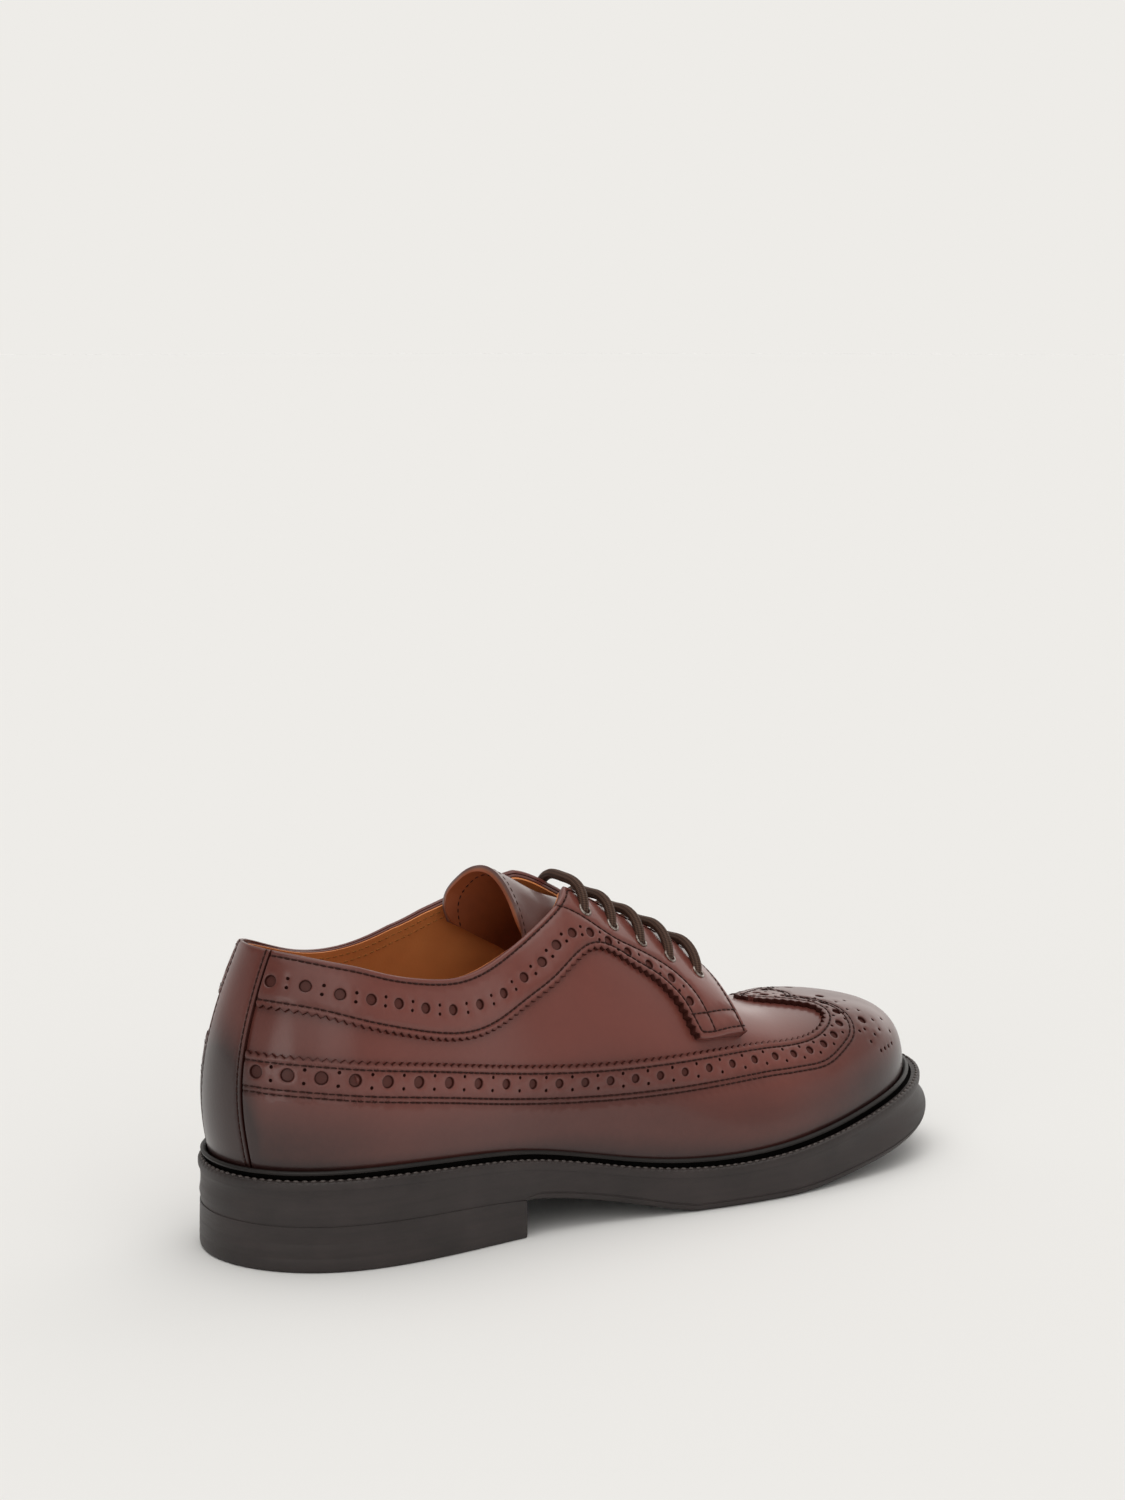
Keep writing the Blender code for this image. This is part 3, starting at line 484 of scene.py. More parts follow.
    def flat(self, turn: Array, rise: Array) -> Array:
        """Flat point: each rib is rolled out straight from the ridge.

        Args:
            turn: turns round the feather edge.
            rise: rises on the ribs.

        Returns:
            Flat points.
        """
        turn, rise = np.broadcast_arrays(np.asarray(turn, float), np.asarray(rise, float))
        centre, reach, halves, heights = self.rib(turn)
        along = rise[..., None] + (1 - rise)[..., None] * 0.5 * (self.NODES + 1)
        left = 1 - along
        slopes = np.stack([left * left, 2 * left * along, along * along], -1)
        across = (slopes * 3 * np.diff(halves, axis=-1)[..., None, :]).sum(-1)
        up = (slopes * 3 * np.diff(heights, axis=-1)[..., None, :]).sum(-1)
        length = (np.hypot(across, up) * self.WEIGHTS * 0.5).sum(-1) * (1 - rise)
        return centre + reach * (halves[..., 3] + length)[..., None]

    def roll(self, flat: Array, passes: int = 4, step: float = 1e-4) -> tuple[Array, Array]:
        """Turn and rise of flat points.

        Args:
            flat: rows of flat points.
            passes: number of Newton steps.
            step: width of the numerical slope.

        Returns:
            Turns and rises.
        """
        found = [self.tree.find((x, y, 0.0))[1] for x, y in flat]
        turn, rise = self.start[found].T.copy()
        for _ in range(passes):
            miss = flat - self.flat(turn, rise)
            a = (self.flat(turn + step, rise) - self.flat(turn - step, rise)) / (2 * step)
            b = (self.flat(turn, rise + step) - self.flat(turn, rise - step)) / (2 * step)
            area = a[:, 0] * b[:, 1] - a[:, 1] * b[:, 0]
            area = np.where(np.abs(area) < 1.0, 1.0, area)
            turn += np.clip((miss[:, 0] * b[:, 1] - miss[:, 1] * b[:, 0]) / area, -0.01, 0.01)
            rise += np.clip((a[:, 0] * miss[:, 1] - a[:, 1] * miss[:, 0]) / area, -0.1, 0.1)
            rise = np.clip(rise, -0.01, 1.0)
        return turn % 1.0, rise

    def frame_at(self, flat: Array, step: float = 1e-4) -> tuple[Array, Array, Array]:
        """Places, outward normals and slopes of the face against the flat pattern.

        Args:
            flat: rows of flat points.
            step: width of the numerical slope in turn and rise.

        Returns:
            Points, unit normals, and an array of the two slope vectors of each point.
        """
        turn, rise = self.roll(flat)
        low = np.minimum(rise, 1 - 20 * step)
        moves = ((turn + step, low), (turn - step, low), (turn, low + step), (turn, low - step))
        on_face = [self.face(*move) for move in moves]
        on_flat = [self.flat(*move) for move in moves]
        face_slopes = np.stack([on_face[0] - on_face[1], on_face[2] - on_face[3]], -1)
        flat_slopes = np.stack([on_flat[0] - on_flat[1], on_flat[2] - on_flat[3]], -1)
        slopes = face_slopes @ np.linalg.pinv(flat_slopes)
        normal = unit(np.cross(slopes[..., 0], slopes[..., 1]))
        return self.face(turn, rise), normal, slopes

    def offset(self, line: Array, distance: Array | float, closed: bool = False, stride: float = 3.0) -> Array:
        """Line moved sideways over the face; positive goes to the left as seen from outside.

        Args:
            line: flat points of the line.
            distance: distance for all points or for each.
            closed: whether the line is a loop.
            stride: longest move in one go.

        Returns:
            Flat points of the moved line.
        """
        distance = np.broadcast_to(np.asarray(distance, float), len(line))
        count = max(1, math.ceil(float(np.abs(distance).max()) / stride))
        for _ in range(count):
            spot, normal, slopes = self.frame_at(line)
            if closed:
                along = np.roll(spot, -1, axis=0) - np.roll(spot, 1, axis=0)
            else:
                along = np.gradient(spot, axis=0)
            side = unit(np.cross(normal, along))
            move = side * (distance / count)[:, None]
            line = line + np.einsum("nij,nj->ni", np.linalg.pinv(slopes), move)
        return line

    def even(self, line: Array, pitch: float) -> Array:
        """Line divided evenly by its length on the face.

        Args:
            line: flat points of the line.
            pitch: distance from point to point.

        Returns:
            Flat points.
        """
        spots = self.face(*self.roll(line))
        length = lengths(spots)
        count = max(2, round(length[-1] / pitch) + 1)
        return at_lengths(line, length, np.linspace(0.0, length[-1], count))

    def find_rise(self, turn: Array, over: Callable[[Array], Array]) -> Array:
        """Rise on each rib at which over(point) turns positive.

        Args:
            turn: turns round the feather edge.
            over: measure of a point of the face that grows with the rise.

        Returns:
            Rises, one for each turn.
        """
        low, high = np.zeros_like(turn), np.ones_like(turn)
        for _ in range(HALVINGS):
            middle = 0.5 * (low + high)
            past = over(self.face(turn, middle)) > 0
            high = np.where(past, middle, high)
            low = np.where(past, low, middle)
        return 0.5 * (low + high)

    def rise_at(self, turn: Array, height_line: Callable[[Array], Array]) -> Array:
        """Rise at which each rib reaches a line of heights along the foot."""
        return self.find_rise(turn, lambda point: point[..., 2] - height_line(point[..., 0]))

    def off_axis(self, points: Array) -> Array:
        """Distance of points from the shoe's axis, seen from above."""
        return np.abs(points[..., 1] - self.axis(points[..., 0]))

    def top_rise(self, turn: Array) -> Array:
        """Rise of the upper's top edge: collar, throat edge, or the ridge ahead of the throat.

        Args:
            turn: turns round the feather edge.

        Returns:
            Rises, one for each turn.
        """
        outer, inner = (self.rise_at(turn, lambda station: self.collar(station)[..., k]) for k in range(2))
        collar = np.where(turn > 0.5, inner, outer)
        throat = self.find_rise(turn, lambda p: self.throat_half(p[..., 0]) - self.off_axis(p))
        station = self.station(turn)
        edge = np.where(station > THROAT_TOP, np.minimum(collar, throat), collar)
        return np.where(station > THROAT_END, 1.0, edge)

    def turn_at(self, station: Array | float) -> Array:
        """Turn on the outer side at which the feather edge passes a station."""
        turns = np.linspace(0.0, 0.5, TURN_STEPS)
        return np.interp(station, self.station(turns), turns)

    def eyelet(self, station: float, side: Side, half: float) -> tuple[float, float]:
        """Turn and rise of a point of the facing at a distance from the shoe's axis.

        Args:
            station: station of the feather edge below it.
            side: side of the shoe.
            half: distance from the axis.

        Returns:
            Turn and rise.
        """
        turn = float(self.turn_at(station))
        turn = 1 - turn if side is Side.INNER else turn
        rise = self.find_rise(np.array([turn]), lambda p: half - self.off_axis(p))
        return turn, float(rise[0])


def wing_height(station: Array) -> Array:
    """Height of the wing's outer face over the upper."""
    return OVERLAY_GAP + FIT_GAP * smooth_step(*WING_TOE, station) + OVERLAY


def quarter_height(station: Array) -> Array:
    """Height of the quarter's outer face over the upper; it thickens where it lies over the vamp."""
    share = smooth_step(*FACING_LIFT, station)
    return OVERLAY_GAP + FACING_STAND * share + OVERLAY + (FACING_FRONT - OVERLAY) * share


def strip_height(station: Array) -> Array:
    """Height of the heel strip's outer face over the upper."""
    return np.full_like(np.asarray(station, float), OVERLAY_GAP + OVERLAY)


def to_part(points: Array) -> Array:
    """Metres in the part's own frame."""
    return (np.asarray(points, float) - FRAME_ORIGIN) * MM


def linear(colour: str) -> tuple[float, float, float, float]:
    """Linear colour of an sRGB hex value.

    Args:
        colour: six hex digits after a number sign.

    Returns:
        Red, green, blue and alpha.
    """
    channels = [int(colour[i : i + 2], 16) / 255 for i in (1, 3, 5)]
    values = [c / 12.92 if c <= 0.04045 else ((c + 0.055) / 1.055) ** 2.4 for c in channels]
    return (*values, 1.0)


def feed(node: Node, values: dict | tuple) -> None:
    """Fill a node's inputs.

    Args:
        node: the node.
        values: constants, sockets or nodes, by the inputs' identifiers or names or in the inputs' order.
            A node stands for its first shown output.
    """
    pairs = values.items() if isinstance(values, dict) else zip([s.identifier for s in node.inputs], values)
    for name, value in pairs:
        found = [s for s in node.inputs if s.identifier == name] or [s for s in node.inputs if s.name == name]
        if isinstance(value, Node):
            value = next(s for s in value.outputs if s.enabled)
        if isinstance(value, Socket):
            node.id_data.links.new(value, found[0])
        else:
            found[0].default_value = value


def add_node(tree: Tree, kind: str, values: dict | tuple = (), **settings: object) -> Node:
    """Add a node to a tree.

    Args:
        tree: the node tree.
        kind: Blender's name of the node type.
        values: what the node's inputs take, as for feed.
        settings: properties of the node.

    Returns:
        The new node.
    """
    node = tree.nodes.new(kind)
    for name, value in settings.items():
        setattr(node, name, value)
    feed(node, values)
    return node


@dataclass(frozen=True)
class Finish:
    """Base of the shoe's finishes: one node material."""

    name: str

    def material(self) -> bpy.types.Material:
        """The finish's material, made at its first use.

        Returns:
            The material, the same one each time.
        """
        found = bpy.data.materials.get(self.name)
        if found is not None:
            return found
        made = bpy.data.materials.new(self.name)
        made.use_nodes = True
        self.dress(made.node_tree, made.node_tree.nodes["Principled BSDF"])
        return made

    def dress(self, tree: Tree, shader: Node) -> None:
        """Link the finish's nodes to the shader."""
        raise NotImplementedError

    @staticmethod
    def per_metre(size: float) -> float:
        """Texture scale for a pattern of a size in millimetres."""
        return 1.0 / (size * MM)


@dataclass(frozen=True)
class BurnishedCalf(Finish):
    """Waxed and burnished calf: smooth tight grain, a darker tone at the heel, the toe and the welt, dark dyed cut
    edges with painted shade in holes, stitch troughs and under edges, a soft wax shine.
    """

    tone: str = "#743f37"
    deep: str = "#2c1816"
    # Edge colour: dyed cut edges, and painted shade in holes, stitch troughs and under the edges
    edge: str = "#2a110d"
    gloss: float = 0.33
    shine: float = 0.4
    coat: float = 0.28
    cloud_size: float = 26.0
    cloud: tuple[float, float] = (0.22, -0.13)
    speck_size: float = 2.5
    speck: float = 0.1
    rough_drift: float = 0.14
    edge_rough: float = 0.3
    grain_size: float = 0.9
    grain: float = 0.25
    skin_size: float = 7.0
    bump: float = 0.22
    bump_depth: float = 0.25

    def dress(self, tree: Tree, shader: Node) -> None:
        """Clouded colour, darkening and edge attributes (dyed cut edges and painted shade), fine grain bump.

        Args:
            tree: the material's nodes.
            shader: its Principled shader.
        """
        add = partial(add_node, tree)
        place = add("ShaderNodeTexCoord").outputs["Object"]
        cloud = add("ShaderNodeTexNoise", {"Vector": place, "Scale": self.per_metre(self.cloud_size), "Detail": 4.0})
        fine = add("ShaderNodeTexNoise", {"Vector": place, "Scale": self.per_metre(self.speck_size), "Detail": 3.0})
        burnish, edge = (
            add("ShaderNodeAttribute", attribute_name=name).outputs["Fac"] for name in ("burnish", "edge")
        )
        drift = add("ShaderNodeMath", (cloud, *self.cloud), operation="MULTIPLY_ADD")
        speck = add("ShaderNodeMath", (fine, self.speck, drift), operation="MULTIPLY_ADD")
        share = add("ShaderNodeMath", (speck, burnish), operation="ADD", use_clamp=True)
        colours = {"Factor_Float": share, "A_Color": linear(self.tone), "B_Color": linear(self.deep)}
        rubbed = add("ShaderNodeMix", colours, data_type="RGBA")
        # The edge attribute mixes in the edge colour: dyed cut edges and painted shade
        colours = {"Factor_Float": edge, "A_Color": rubbed, "B_Color": linear(self.edge)}
        cut = add("ShaderNodeMix", colours, data_type="RGBA")
        smooth = self.gloss - 0.5 * self.rough_drift
        rough = add("ShaderNodeMath", (cloud, self.rough_drift, smooth), operation="MULTIPLY_ADD")
        rough_edge = add("ShaderNodeMath", (edge, self.edge_rough, rough), operation="MULTIPLY_ADD")
        cells = {"Vector": place, "Scale": self.per_metre(self.grain_size)}
        pores = add("ShaderNodeTexVoronoi", cells, feature="SMOOTH_F1")
        skin = add("ShaderNodeTexNoise", {"Vector": place, "Scale": self.per_metre(self.skin_size), "Detail": 5.0})
        relief = add("ShaderNodeMath", (pores, self.grain, skin), operation="MULTIPLY_ADD")
        bump = add("ShaderNodeBump", {"Strength": self.bump, "Distance": self.bump_depth * MM, "Height": relief})
        # Shine and coat fade where the edge attribute paints shade
        shine, coat = (
            add("ShaderNodeMath", (edge, -most, most), operation="MULTIPLY_ADD") for most in (self.shine, self.coat)
        )
        feed(shader, {"Base Color": cut, "Roughness": rough_edge, "Normal": bump, "IOR": 1.5})
        feed(shader, {"Specular IOR Level": shine, "Coat Weight": coat, "Coat Roughness": 0.12})


@dataclass(frozen=True)
class PlainLeather(Finish):
    """Vegetable-tanned lining leather: matt, with pores, mottled darker in places."""

    tone: str = "#9a5624"
    deep: str = "#6d3615"
    rough: float = 0.55
    cloud_size: float = 14.0
    grain_size: float = 0.8
    grain: float = 0.5
    bump: float = 0.3
    bump_depth: float = 0.2

    def dress(self, tree: Tree, shader: Node) -> None:
        """Mottled tan with pores.

        Args:
            tree: the material's nodes.
            shader: its Principled shader.
        """
        add = partial(add_node, tree)
        place = add("ShaderNodeTexCoord").outputs["Object"]
        cloud = add("ShaderNodeTexNoise", {"Vector": place, "Scale": self.per_metre(self.cloud_size), "Detail": 5.0})
        cells = {"Vector": place, "Scale": self.per_metre(self.grain_size)}
        pores = add("ShaderNodeTexVoronoi", cells, feature="SMOOTH_F1")
        colours = {"Factor_Float": cloud, "A_Color": linear(self.tone), "B_Color": linear(self.deep)}
        tone = add("ShaderNodeMix", colours, data_type="RGBA")
        relief = add("ShaderNodeMath", (pores, self.grain, cloud), operation="MULTIPLY_ADD")
        bump = add("ShaderNodeBump", {"Strength": self.bump, "Distance": self.bump_depth * MM, "Height": relief})
        feed(shader, {"Base Color": tone, "Normal": bump, "Roughness": self.rough})


@dataclass(frozen=True)
class MouldedRubber(Finish):
    """Compression-moulded rubber: dark, slightly blotched, with the dull skin that a mould leaves."""

    tone: str = "#352d2c"
    deep: str = "#272120"
    rough: float = 0.5
    shine: float = 0.4
    cloud_size: float = 18.0
    streak_size: float = 22.0
    streak_thin: float = 14.0
    streak: float = 0.6
    span: tuple[float, float] = (0.55, 1.05)
    rough_drift: float = 0.2
    skin_size: float = 0.7
    streak_relief: float = 1.2
    bump: float = 0.25
    bump_depth: float = 0.2

    def dress(self, tree: Tree, shader: Node) -> None:
        """Blotches, fine mould skin, and scuffed streaks along the wall.

        Args:
            tree: the material's nodes.
            shader: its Principled shader.
        """
        add = partial(add_node, tree)
        place = add("ShaderNodeTexCoord").outputs["Object"]
        cloud = add("ShaderNodeTexNoise", {"Vector": place, "Scale": self.per_metre(self.cloud_size), "Detail": 5.0})
        thin = add("ShaderNodeMapping", {"Vector": place, "Scale": (1.0, 1.0, self.streak_thin)})
        streak = add("ShaderNodeTexNoise", {"Vector": thin, "Scale": self.per_metre(self.streak_size), "Detail": 4.0})
        mixed = add("ShaderNodeMath", (streak, self.streak, cloud), operation="MULTIPLY_ADD")
        share = add("ShaderNodeMapRange", {"Value": mixed, "From Min": self.span[0], "From Max": self.span[1]})
        colours = {"Factor_Float": share, "A_Color": linear(self.deep), "B_Color": linear(self.tone)}
        tone = add("ShaderNodeMix", colours, data_type="RGBA")
        smooth = self.rough - 0.5 * self.rough_drift
        rough = add("ShaderNodeMath", (streak, self.rough_drift, smooth), operation="MULTIPLY_ADD")
        skin = add("ShaderNodeTexNoise", {"Vector": place, "Scale": self.per_metre(self.skin_size), "Detail": 4.0})
        relief = add("ShaderNodeMath", (streak, self.streak_relief, skin), operation="MULTIPLY_ADD")
        bump = add("ShaderNodeBump", {"Strength": self.bump, "Distance": self.bump_depth * MM, "Height": relief})
        feed(shader, {"Base Color": tone, "Roughness": rough, "Normal": bump, "Specular IOR Level": self.shine})


@dataclass(frozen=True)
class WaxedThread(Finish):
    """Waxed linen thread: plied, so each stitch shows slanting strands."""

    tone: str = "#28130f"
    rough: float = 0.5
    shine: float = 0.12
    ply_size: float = 1.6
    ply_light: float = 1.7

    def dress(self, tree: Tree, shader: Node) -> None:
        """Plied strands, every second one lighter.

        Args:
            tree: the material's nodes.
            shader: its Principled shader.
        """
        add = partial(add_node, tree)
        place = add("ShaderNodeTexCoord").outputs["Object"]
        waves = {"Vector": place, "Scale": self.per_metre(self.ply_size), "Distortion": 1.0}
        ply = add("ShaderNodeTexWave", waves, bands_direction="DIAGONAL").outputs["Fac"]
        base = linear(self.tone)
        light = tuple(min(1.0, self.ply_light * c) for c in base[:3])
        colours = {"Factor_Float": ply, "A_Color": base, "B_Color": (*light, 1.0)}
        tone = add("ShaderNodeMix", colours, data_type="RGBA")
        feed(shader, {"Base Color": tone, "Roughness": self.rough, "Specular IOR Level": self.shine})


@dataclass(frozen=True)
class BraidedLace(Finish):
    """Waxed cotton lace: a fine round braid, so it shows small slanting cells that cross, their raised tops painted
    lighter as highlight.
    """

    tone: str = "#2b1b14"
    # Tone of the braid's raised cells: painted highlight
    light: str = "#5c453a"
    cells_round: float = 8.0
    cell_length: float = 1.3
    bump: float = 0.7
    bump_depth: float = 0.25

    def dress(self, tree: Tree, shader: Node) -> None:
        """Crossing strands from the cord's own map: U goes round, V along it in millimetres.

        Args:
            tree: the material's nodes.
            shader: its Principled shader.
        """
        add = partial(add_node, tree)
        uv = add("ShaderNodeUVMap", uv_map="lace")
        parts = add("ShaderNodeSeparateXYZ", (uv,)).outputs
        strands = []
        for hand in (1.0, -1.0):
            along = add("ShaderNodeMath", (parts["Y"], hand * math.tau / self.cell_length), operation="MULTIPLY")
            cells = 0.5 * self.cells_round * math.tau
            slant = add("ShaderNodeMath", (parts["X"], cells, along), operation="MULTIPLY_ADD")
            strands.append(add("ShaderNodeMath", (slant,), operation="SINE"))
        weave = add("ShaderNodeMath", tuple(strands), operation="MULTIPLY")
        height = add("ShaderNodeMapRange", {"Value": weave, "From Min": -1.0, "From Max": 1.0})
        # Raised cells take the lighter tone: painted highlight
        colours = {"Factor_Float": height, "A_Color": linear(self.tone), "B_Color": linear(self.light)}
        tone = add("ShaderNodeMix", colours, data_type="RGBA")
        bump = add("ShaderNodeBump", {"Strength": self.bump, "Distance": self.bump_depth * MM, "Height": height})
        feed(shader, {"Base Color": tone, "Normal": bump, "Roughness": 0.6, "Specular IOR Level": 0.15})


@dataclass(frozen=True)
class StudioPaper(Finish):
    """Matt seamless backdrop paper: one even tone, with no shine."""

    white: float = 0.8

    def dress(self, tree: Tree, shader: Node) -> None:
        """One even tone, with no shine."""
        tone = (self.white, self.white, self.white, 1.0)
        feed(shader, {"Base Color": tone, "Roughness": 1.0, "Specular IOR Level": 0.0})


@dataclass(frozen=True)
class PaintedEyelet(Finish):
    """Brass eyelet under brown-grey paint, worn through to dull brass in small spots."""

    tone: str = "#6b5c54"
    worn: str = "#a89e97"
    wear_size: float = 1.2
    span: tuple[float, float] = (0.42, 0.6)

    def dress(self, tree: Tree, shader: Node) -> None:
        """Paint with small worn spots.

        Args:
            tree: the material's nodes.
            shader: its Principled shader.
        """
        add = partial(add_node, tree)
        place = add("ShaderNodeTexCoord").outputs["Object"]
        wear = add("ShaderNodeTexNoise", {"Vector": place, "Scale": self.per_metre(self.wear_size), "Detail": 3.0})
        share = add("ShaderNodeMapRange", {"Value": wear, "From Min": self.span[0], "From Max": self.span[1]})
        colours = {"Factor_Float": share, "A_Color": linear(self.tone), "B_Color": linear(self.worn)}
        tone = add("ShaderNodeMix", colours, data_type="RGBA")
        feed(shader, {"Base Color": tone, "Metallic": 0.7, "Roughness": 0.34})


CALF = BurnishedCalf("burnished_calf")
TONGUE_CALF = BurnishedCalf("burnished_calf_tongue", tone="#67443f", deep="#3d2724", gloss=0.38, shine=0.6)
LINING_LEATHER = PlainLeather("lining_leather", tone="#dd8a4c", deep="#bd6e3a")
# The tongue's lining: the lining leather in a darker tone, painted shade
TONGUE_LINING_SHADED = PlainLeather("tongue_lining_leather", tone="#9a4e27", deep="#6c3117")
INSOLE_LEATHER = PlainLeather("insole_sock_leather", tone="#a4622c", deep="#7b431c")
CUT_LEATHER = PlainLeather("cut_leather_edge", tone="#8f5a43", deep="#68402f", rough=0.75)
SOLE_RUBBER = MouldedRubber("moulded_sole_rubber")
WELT_RUBBER = MouldedRubber("moulded_welt_rubber", tone="#221d1b", deep="#161312", rough=0.45, shine=0.25)
# Near-black matt rubber for the welt's channel: painted shade
CHANNEL_SHADE_RUBBER = MouldedRubber("channel_rubber", tone="#0c0a09", deep="#070605", rough=0.9, shine=0.05)
DARK_THREAD = WaxedThread("waxed_thread_dark")
TAN_THREAD = WaxedThread("waxed_thread_tan", tone="#8a5a2e", rough=0.6)
# Light grey welt thread: partly the thread's own grey, partly painted highlight
WELT_THREAD = WaxedThread("waxed_thread_welt", tone="#3f3836", rough=0.45, shine=0.4)
LACE = BraidedLace("waxed_braided_lace")
EYELET_PAINT = PaintedEyelet("painted_brass_eyelet")


def shoe_object(name: str, points: Array, faces: list, finish: Finish, sharp: float = 45.0) -> Piece:
    """Mesh object of the shoe.

    Args:
        name: name of the piece.
        points: places in the shoe's millimetres.
        faces: corner numbers of each face.
        finish: material of the piece.
        sharp: angle in degrees past which an edge is hard.

    Returns:
        The new object, linked to the scene.
    """
    mesh = bpy.data.meshes.new(name)
    mesh.from_pydata(to_part(points).tolist(), [], faces)
    mesh.materials.append(finish.material())
    mesh.shade_smooth()
    mesh.set_sharp_from_angle(angle=math.radians(sharp))
    piece = bpy.data.objects.new(name, mesh)
    bpy.context.scene.collection.objects.link(piece)
    return piece


def set_float(piece: Piece, name: str, values: Array) -> None:
    """Give a mesh one number for each point."""
    layer = piece.data.attributes.new(name, "FLOAT", "POINT")
    layer.data.foreach_set("value", np.ascontiguousarray(values, np.float32))


def face_outward(piece: Piece) -> None:
    """Turn the faces of a closed mesh outwards.

    Args:
        piece: object with the mesh.
    """
    bm = bmesh.new()
    bm.from_mesh(piece.data)
    bmesh.ops.recalc_face_normals(bm, faces=bm.faces)
    bm.to_mesh(piece.data)
    bm.free()


def enlist(piece: Piece, slot: Slot | None, *nodes: str) -> None:
    """Let a piece ride on the shoe's body and stand for CAD nodes.

    Args:
        piece: the visual piece.
        slot: its colour slot, if it has one; not used.
        nodes: CAD nodes that it replaces.
    """
    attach(piece, BODY)
    if nodes:
        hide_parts(*nodes)
    piece.data.calc_loop_triangles()
    log.info("%s: %d triangles", piece.name, len(piece.data.loop_triangles))


def fading(rubs: Sequence[tuple[float, float, float]], place: Array) -> Array:
    """Sum of strengths that fade out along a place."""
    return sum(strength * (1 - smooth_step(low, high, place)) for strength, low, high in rubs)


def darkening_at(points: Array, rise: Array) -> Array:
    """How dark the calf is: burnished most at the heel and the toe, and darker low on the heel and along the welt.

    Args:
        points: points of the upper's face.
        rise: their rises.

    Returns:
        Darkness from 0 to 1.
    """
    station = points[:, 0]
    low_heel = fading(LOW_HEEL_DARKENING, station) * fading(LOW_HEEL_RISE, rise)
    toe = TOE_RUB[0] * smooth_step(*TOE_RUB[1:], station)
    rubbed = RUB_BASE + np.maximum(fading(HEEL_RUB, station), toe) + low_heel + fading(FOOT_DARKENING, rise)
    return np.clip(rubbed, 0, 1)


def scatter_tree(name: str, sizes: Sequence[str], coat: str, shape: Callable[[Tree, Node], dict]) -> Tree:
    """Geometry Nodes tree that sets one shape on each point of a mesh, made at its first use.

    Args:
        name: name of the tree.
        sizes: names of its number inputs.
        coat: name of its material input.
        shape: adds the shape's nodes and says what the instances take from them.

    Returns:
        The tree.
    """
    found = bpy.data.node_groups.get(name)
    if found is not None:
        return found
    tree = bpy.data.node_groups.new(name, "GeometryNodeTree")
    inputs = [("Geometry", "Geometry"), *((size, "Float") for size in sizes), (coat, "Material")]
    for label, kind in inputs:
        tree.interface.new_socket(label, in_out="INPUT", socket_type=f"NodeSocket{kind}")
    tree.interface.new_socket("Geometry", in_out="OUTPUT", socket_type="NodeSocketGeometry")
    entry = add_node(tree, "NodeGroupInput")
    row = add_node(tree, "GeometryNodeInstanceOnPoints", {"Points": entry.outputs["Geometry"], **shape(tree, entry)})
    real = add_node(tree, "GeometryNodeRealizeInstances", {"Geometry": row})
    smooth = add_node(tree, "GeometryNodeSetShadeSmooth", {"Geometry": real})
    coated = add_node(tree, "GeometryNodeSetMaterial", {"Geometry": smooth, "Material": entry.outputs[coat]})
    add_node(tree, "NodeGroupOutput", {"Geometry": coated})
    return tree


def stitch_shape(tree: Tree, entry: Node) -> dict:
    """Long bead of thread that lies along its row.

    Args:
        tree: the Geometry Nodes group.
        entry: its group input.

    Returns:
        Inputs of the node that places the instances.
    """
    along, up = (
        add_node(tree, "GeometryNodeInputNamedAttribute", {"Name": name}, data_type="FLOAT_VECTOR")
        for name in ("along", "up")
    )
    axes = {"Primary Axis": along, "Secondary Axis": up}
    turn = add_node(tree, "FunctionNodeAxesToRotation", axes, primary_axis="X", secondary_axis="Z")
    bead = add_node(tree, "GeometryNodeMeshUVSphere", {"Segments": 8, "Rings": 5, "Radius": 0.5})
    size = add_node(tree, "ShaderNodeCombineXYZ", tuple(entry.outputs[name] for name in ("Length", "Width", "Height")))
    return {"Instance": bead, "Rotation": turn, "Scale": size}


def eyelet_shape(tree: Tree, entry: Node) -> dict:
    """Rolled ring that lies flat on the leather.

    Args:
        tree: the Geometry Nodes group.
        entry: its group input.

    Returns:
        Inputs of the node that places the instances.
    """
    ring, roll = (
        add_node(tree, "GeometryNodeCurvePrimitiveCircle", {"Resolution": steps, "Radius": entry.outputs[name]})
        for steps, name in ((28, "Ring Radius"), (8, "Roll Radius"))
    )
    tube = add_node(tree, "GeometryNodeCurveToMesh", {"Curve": ring, "Profile Curve": roll})
    up = add_node(tree, "GeometryNodeInputNamedAttribute", {"Name": "up"}, data_type="FLOAT_VECTOR")
    turn = add_node(tree, "FunctionNodeAlignRotationToVector", {"Vector": up}, axis="Z")
    return {"Instance": tube, "Rotation": turn}


def realized(name: str, spots: Array, leans: dict, tree: Tree, sizes: dict) -> Piece:
    """Run a Geometry Nodes tree on points and keep the result as a plain mesh.

    Args:
        name: name of the piece.
        spots: places in the shoe's millimetres.
        leans: vectors of each point, by the attribute's name.
        tree: the node tree.
        sizes: value of each named input.

    Returns:
        The new object, linked to the scene.
    """
    mesh = bpy.data.meshes.new(name)
    mesh.from_pydata(to_part(spots).tolist(), [], [])
    for label, vectors in leans.items():
        layer = mesh.attributes.new(label, "FLOAT_VECTOR", "POINT")
        layer.data.foreach_set("vector", vectors.astype(np.float32).ravel())
    piece = bpy.data.objects.new(name, mesh)
    modifier = piece.modifiers.new("nodes", "NODES")
    modifier.node_group = tree
    for item in tree.interface.items_tree:
        if item.in_out == "INPUT" and item.name in sizes:
            modifier[item.identifier] = sizes[item.name]
    bpy.context.scene.collection.objects.link(piece)
    graph = bpy.context.evaluated_depsgraph_get()
    made = bpy.data.meshes.new_from_object(piece.evaluated_get(graph))
    piece.modifiers.remove(modifier)
    piece.data = made
    made.name = name
    return piece


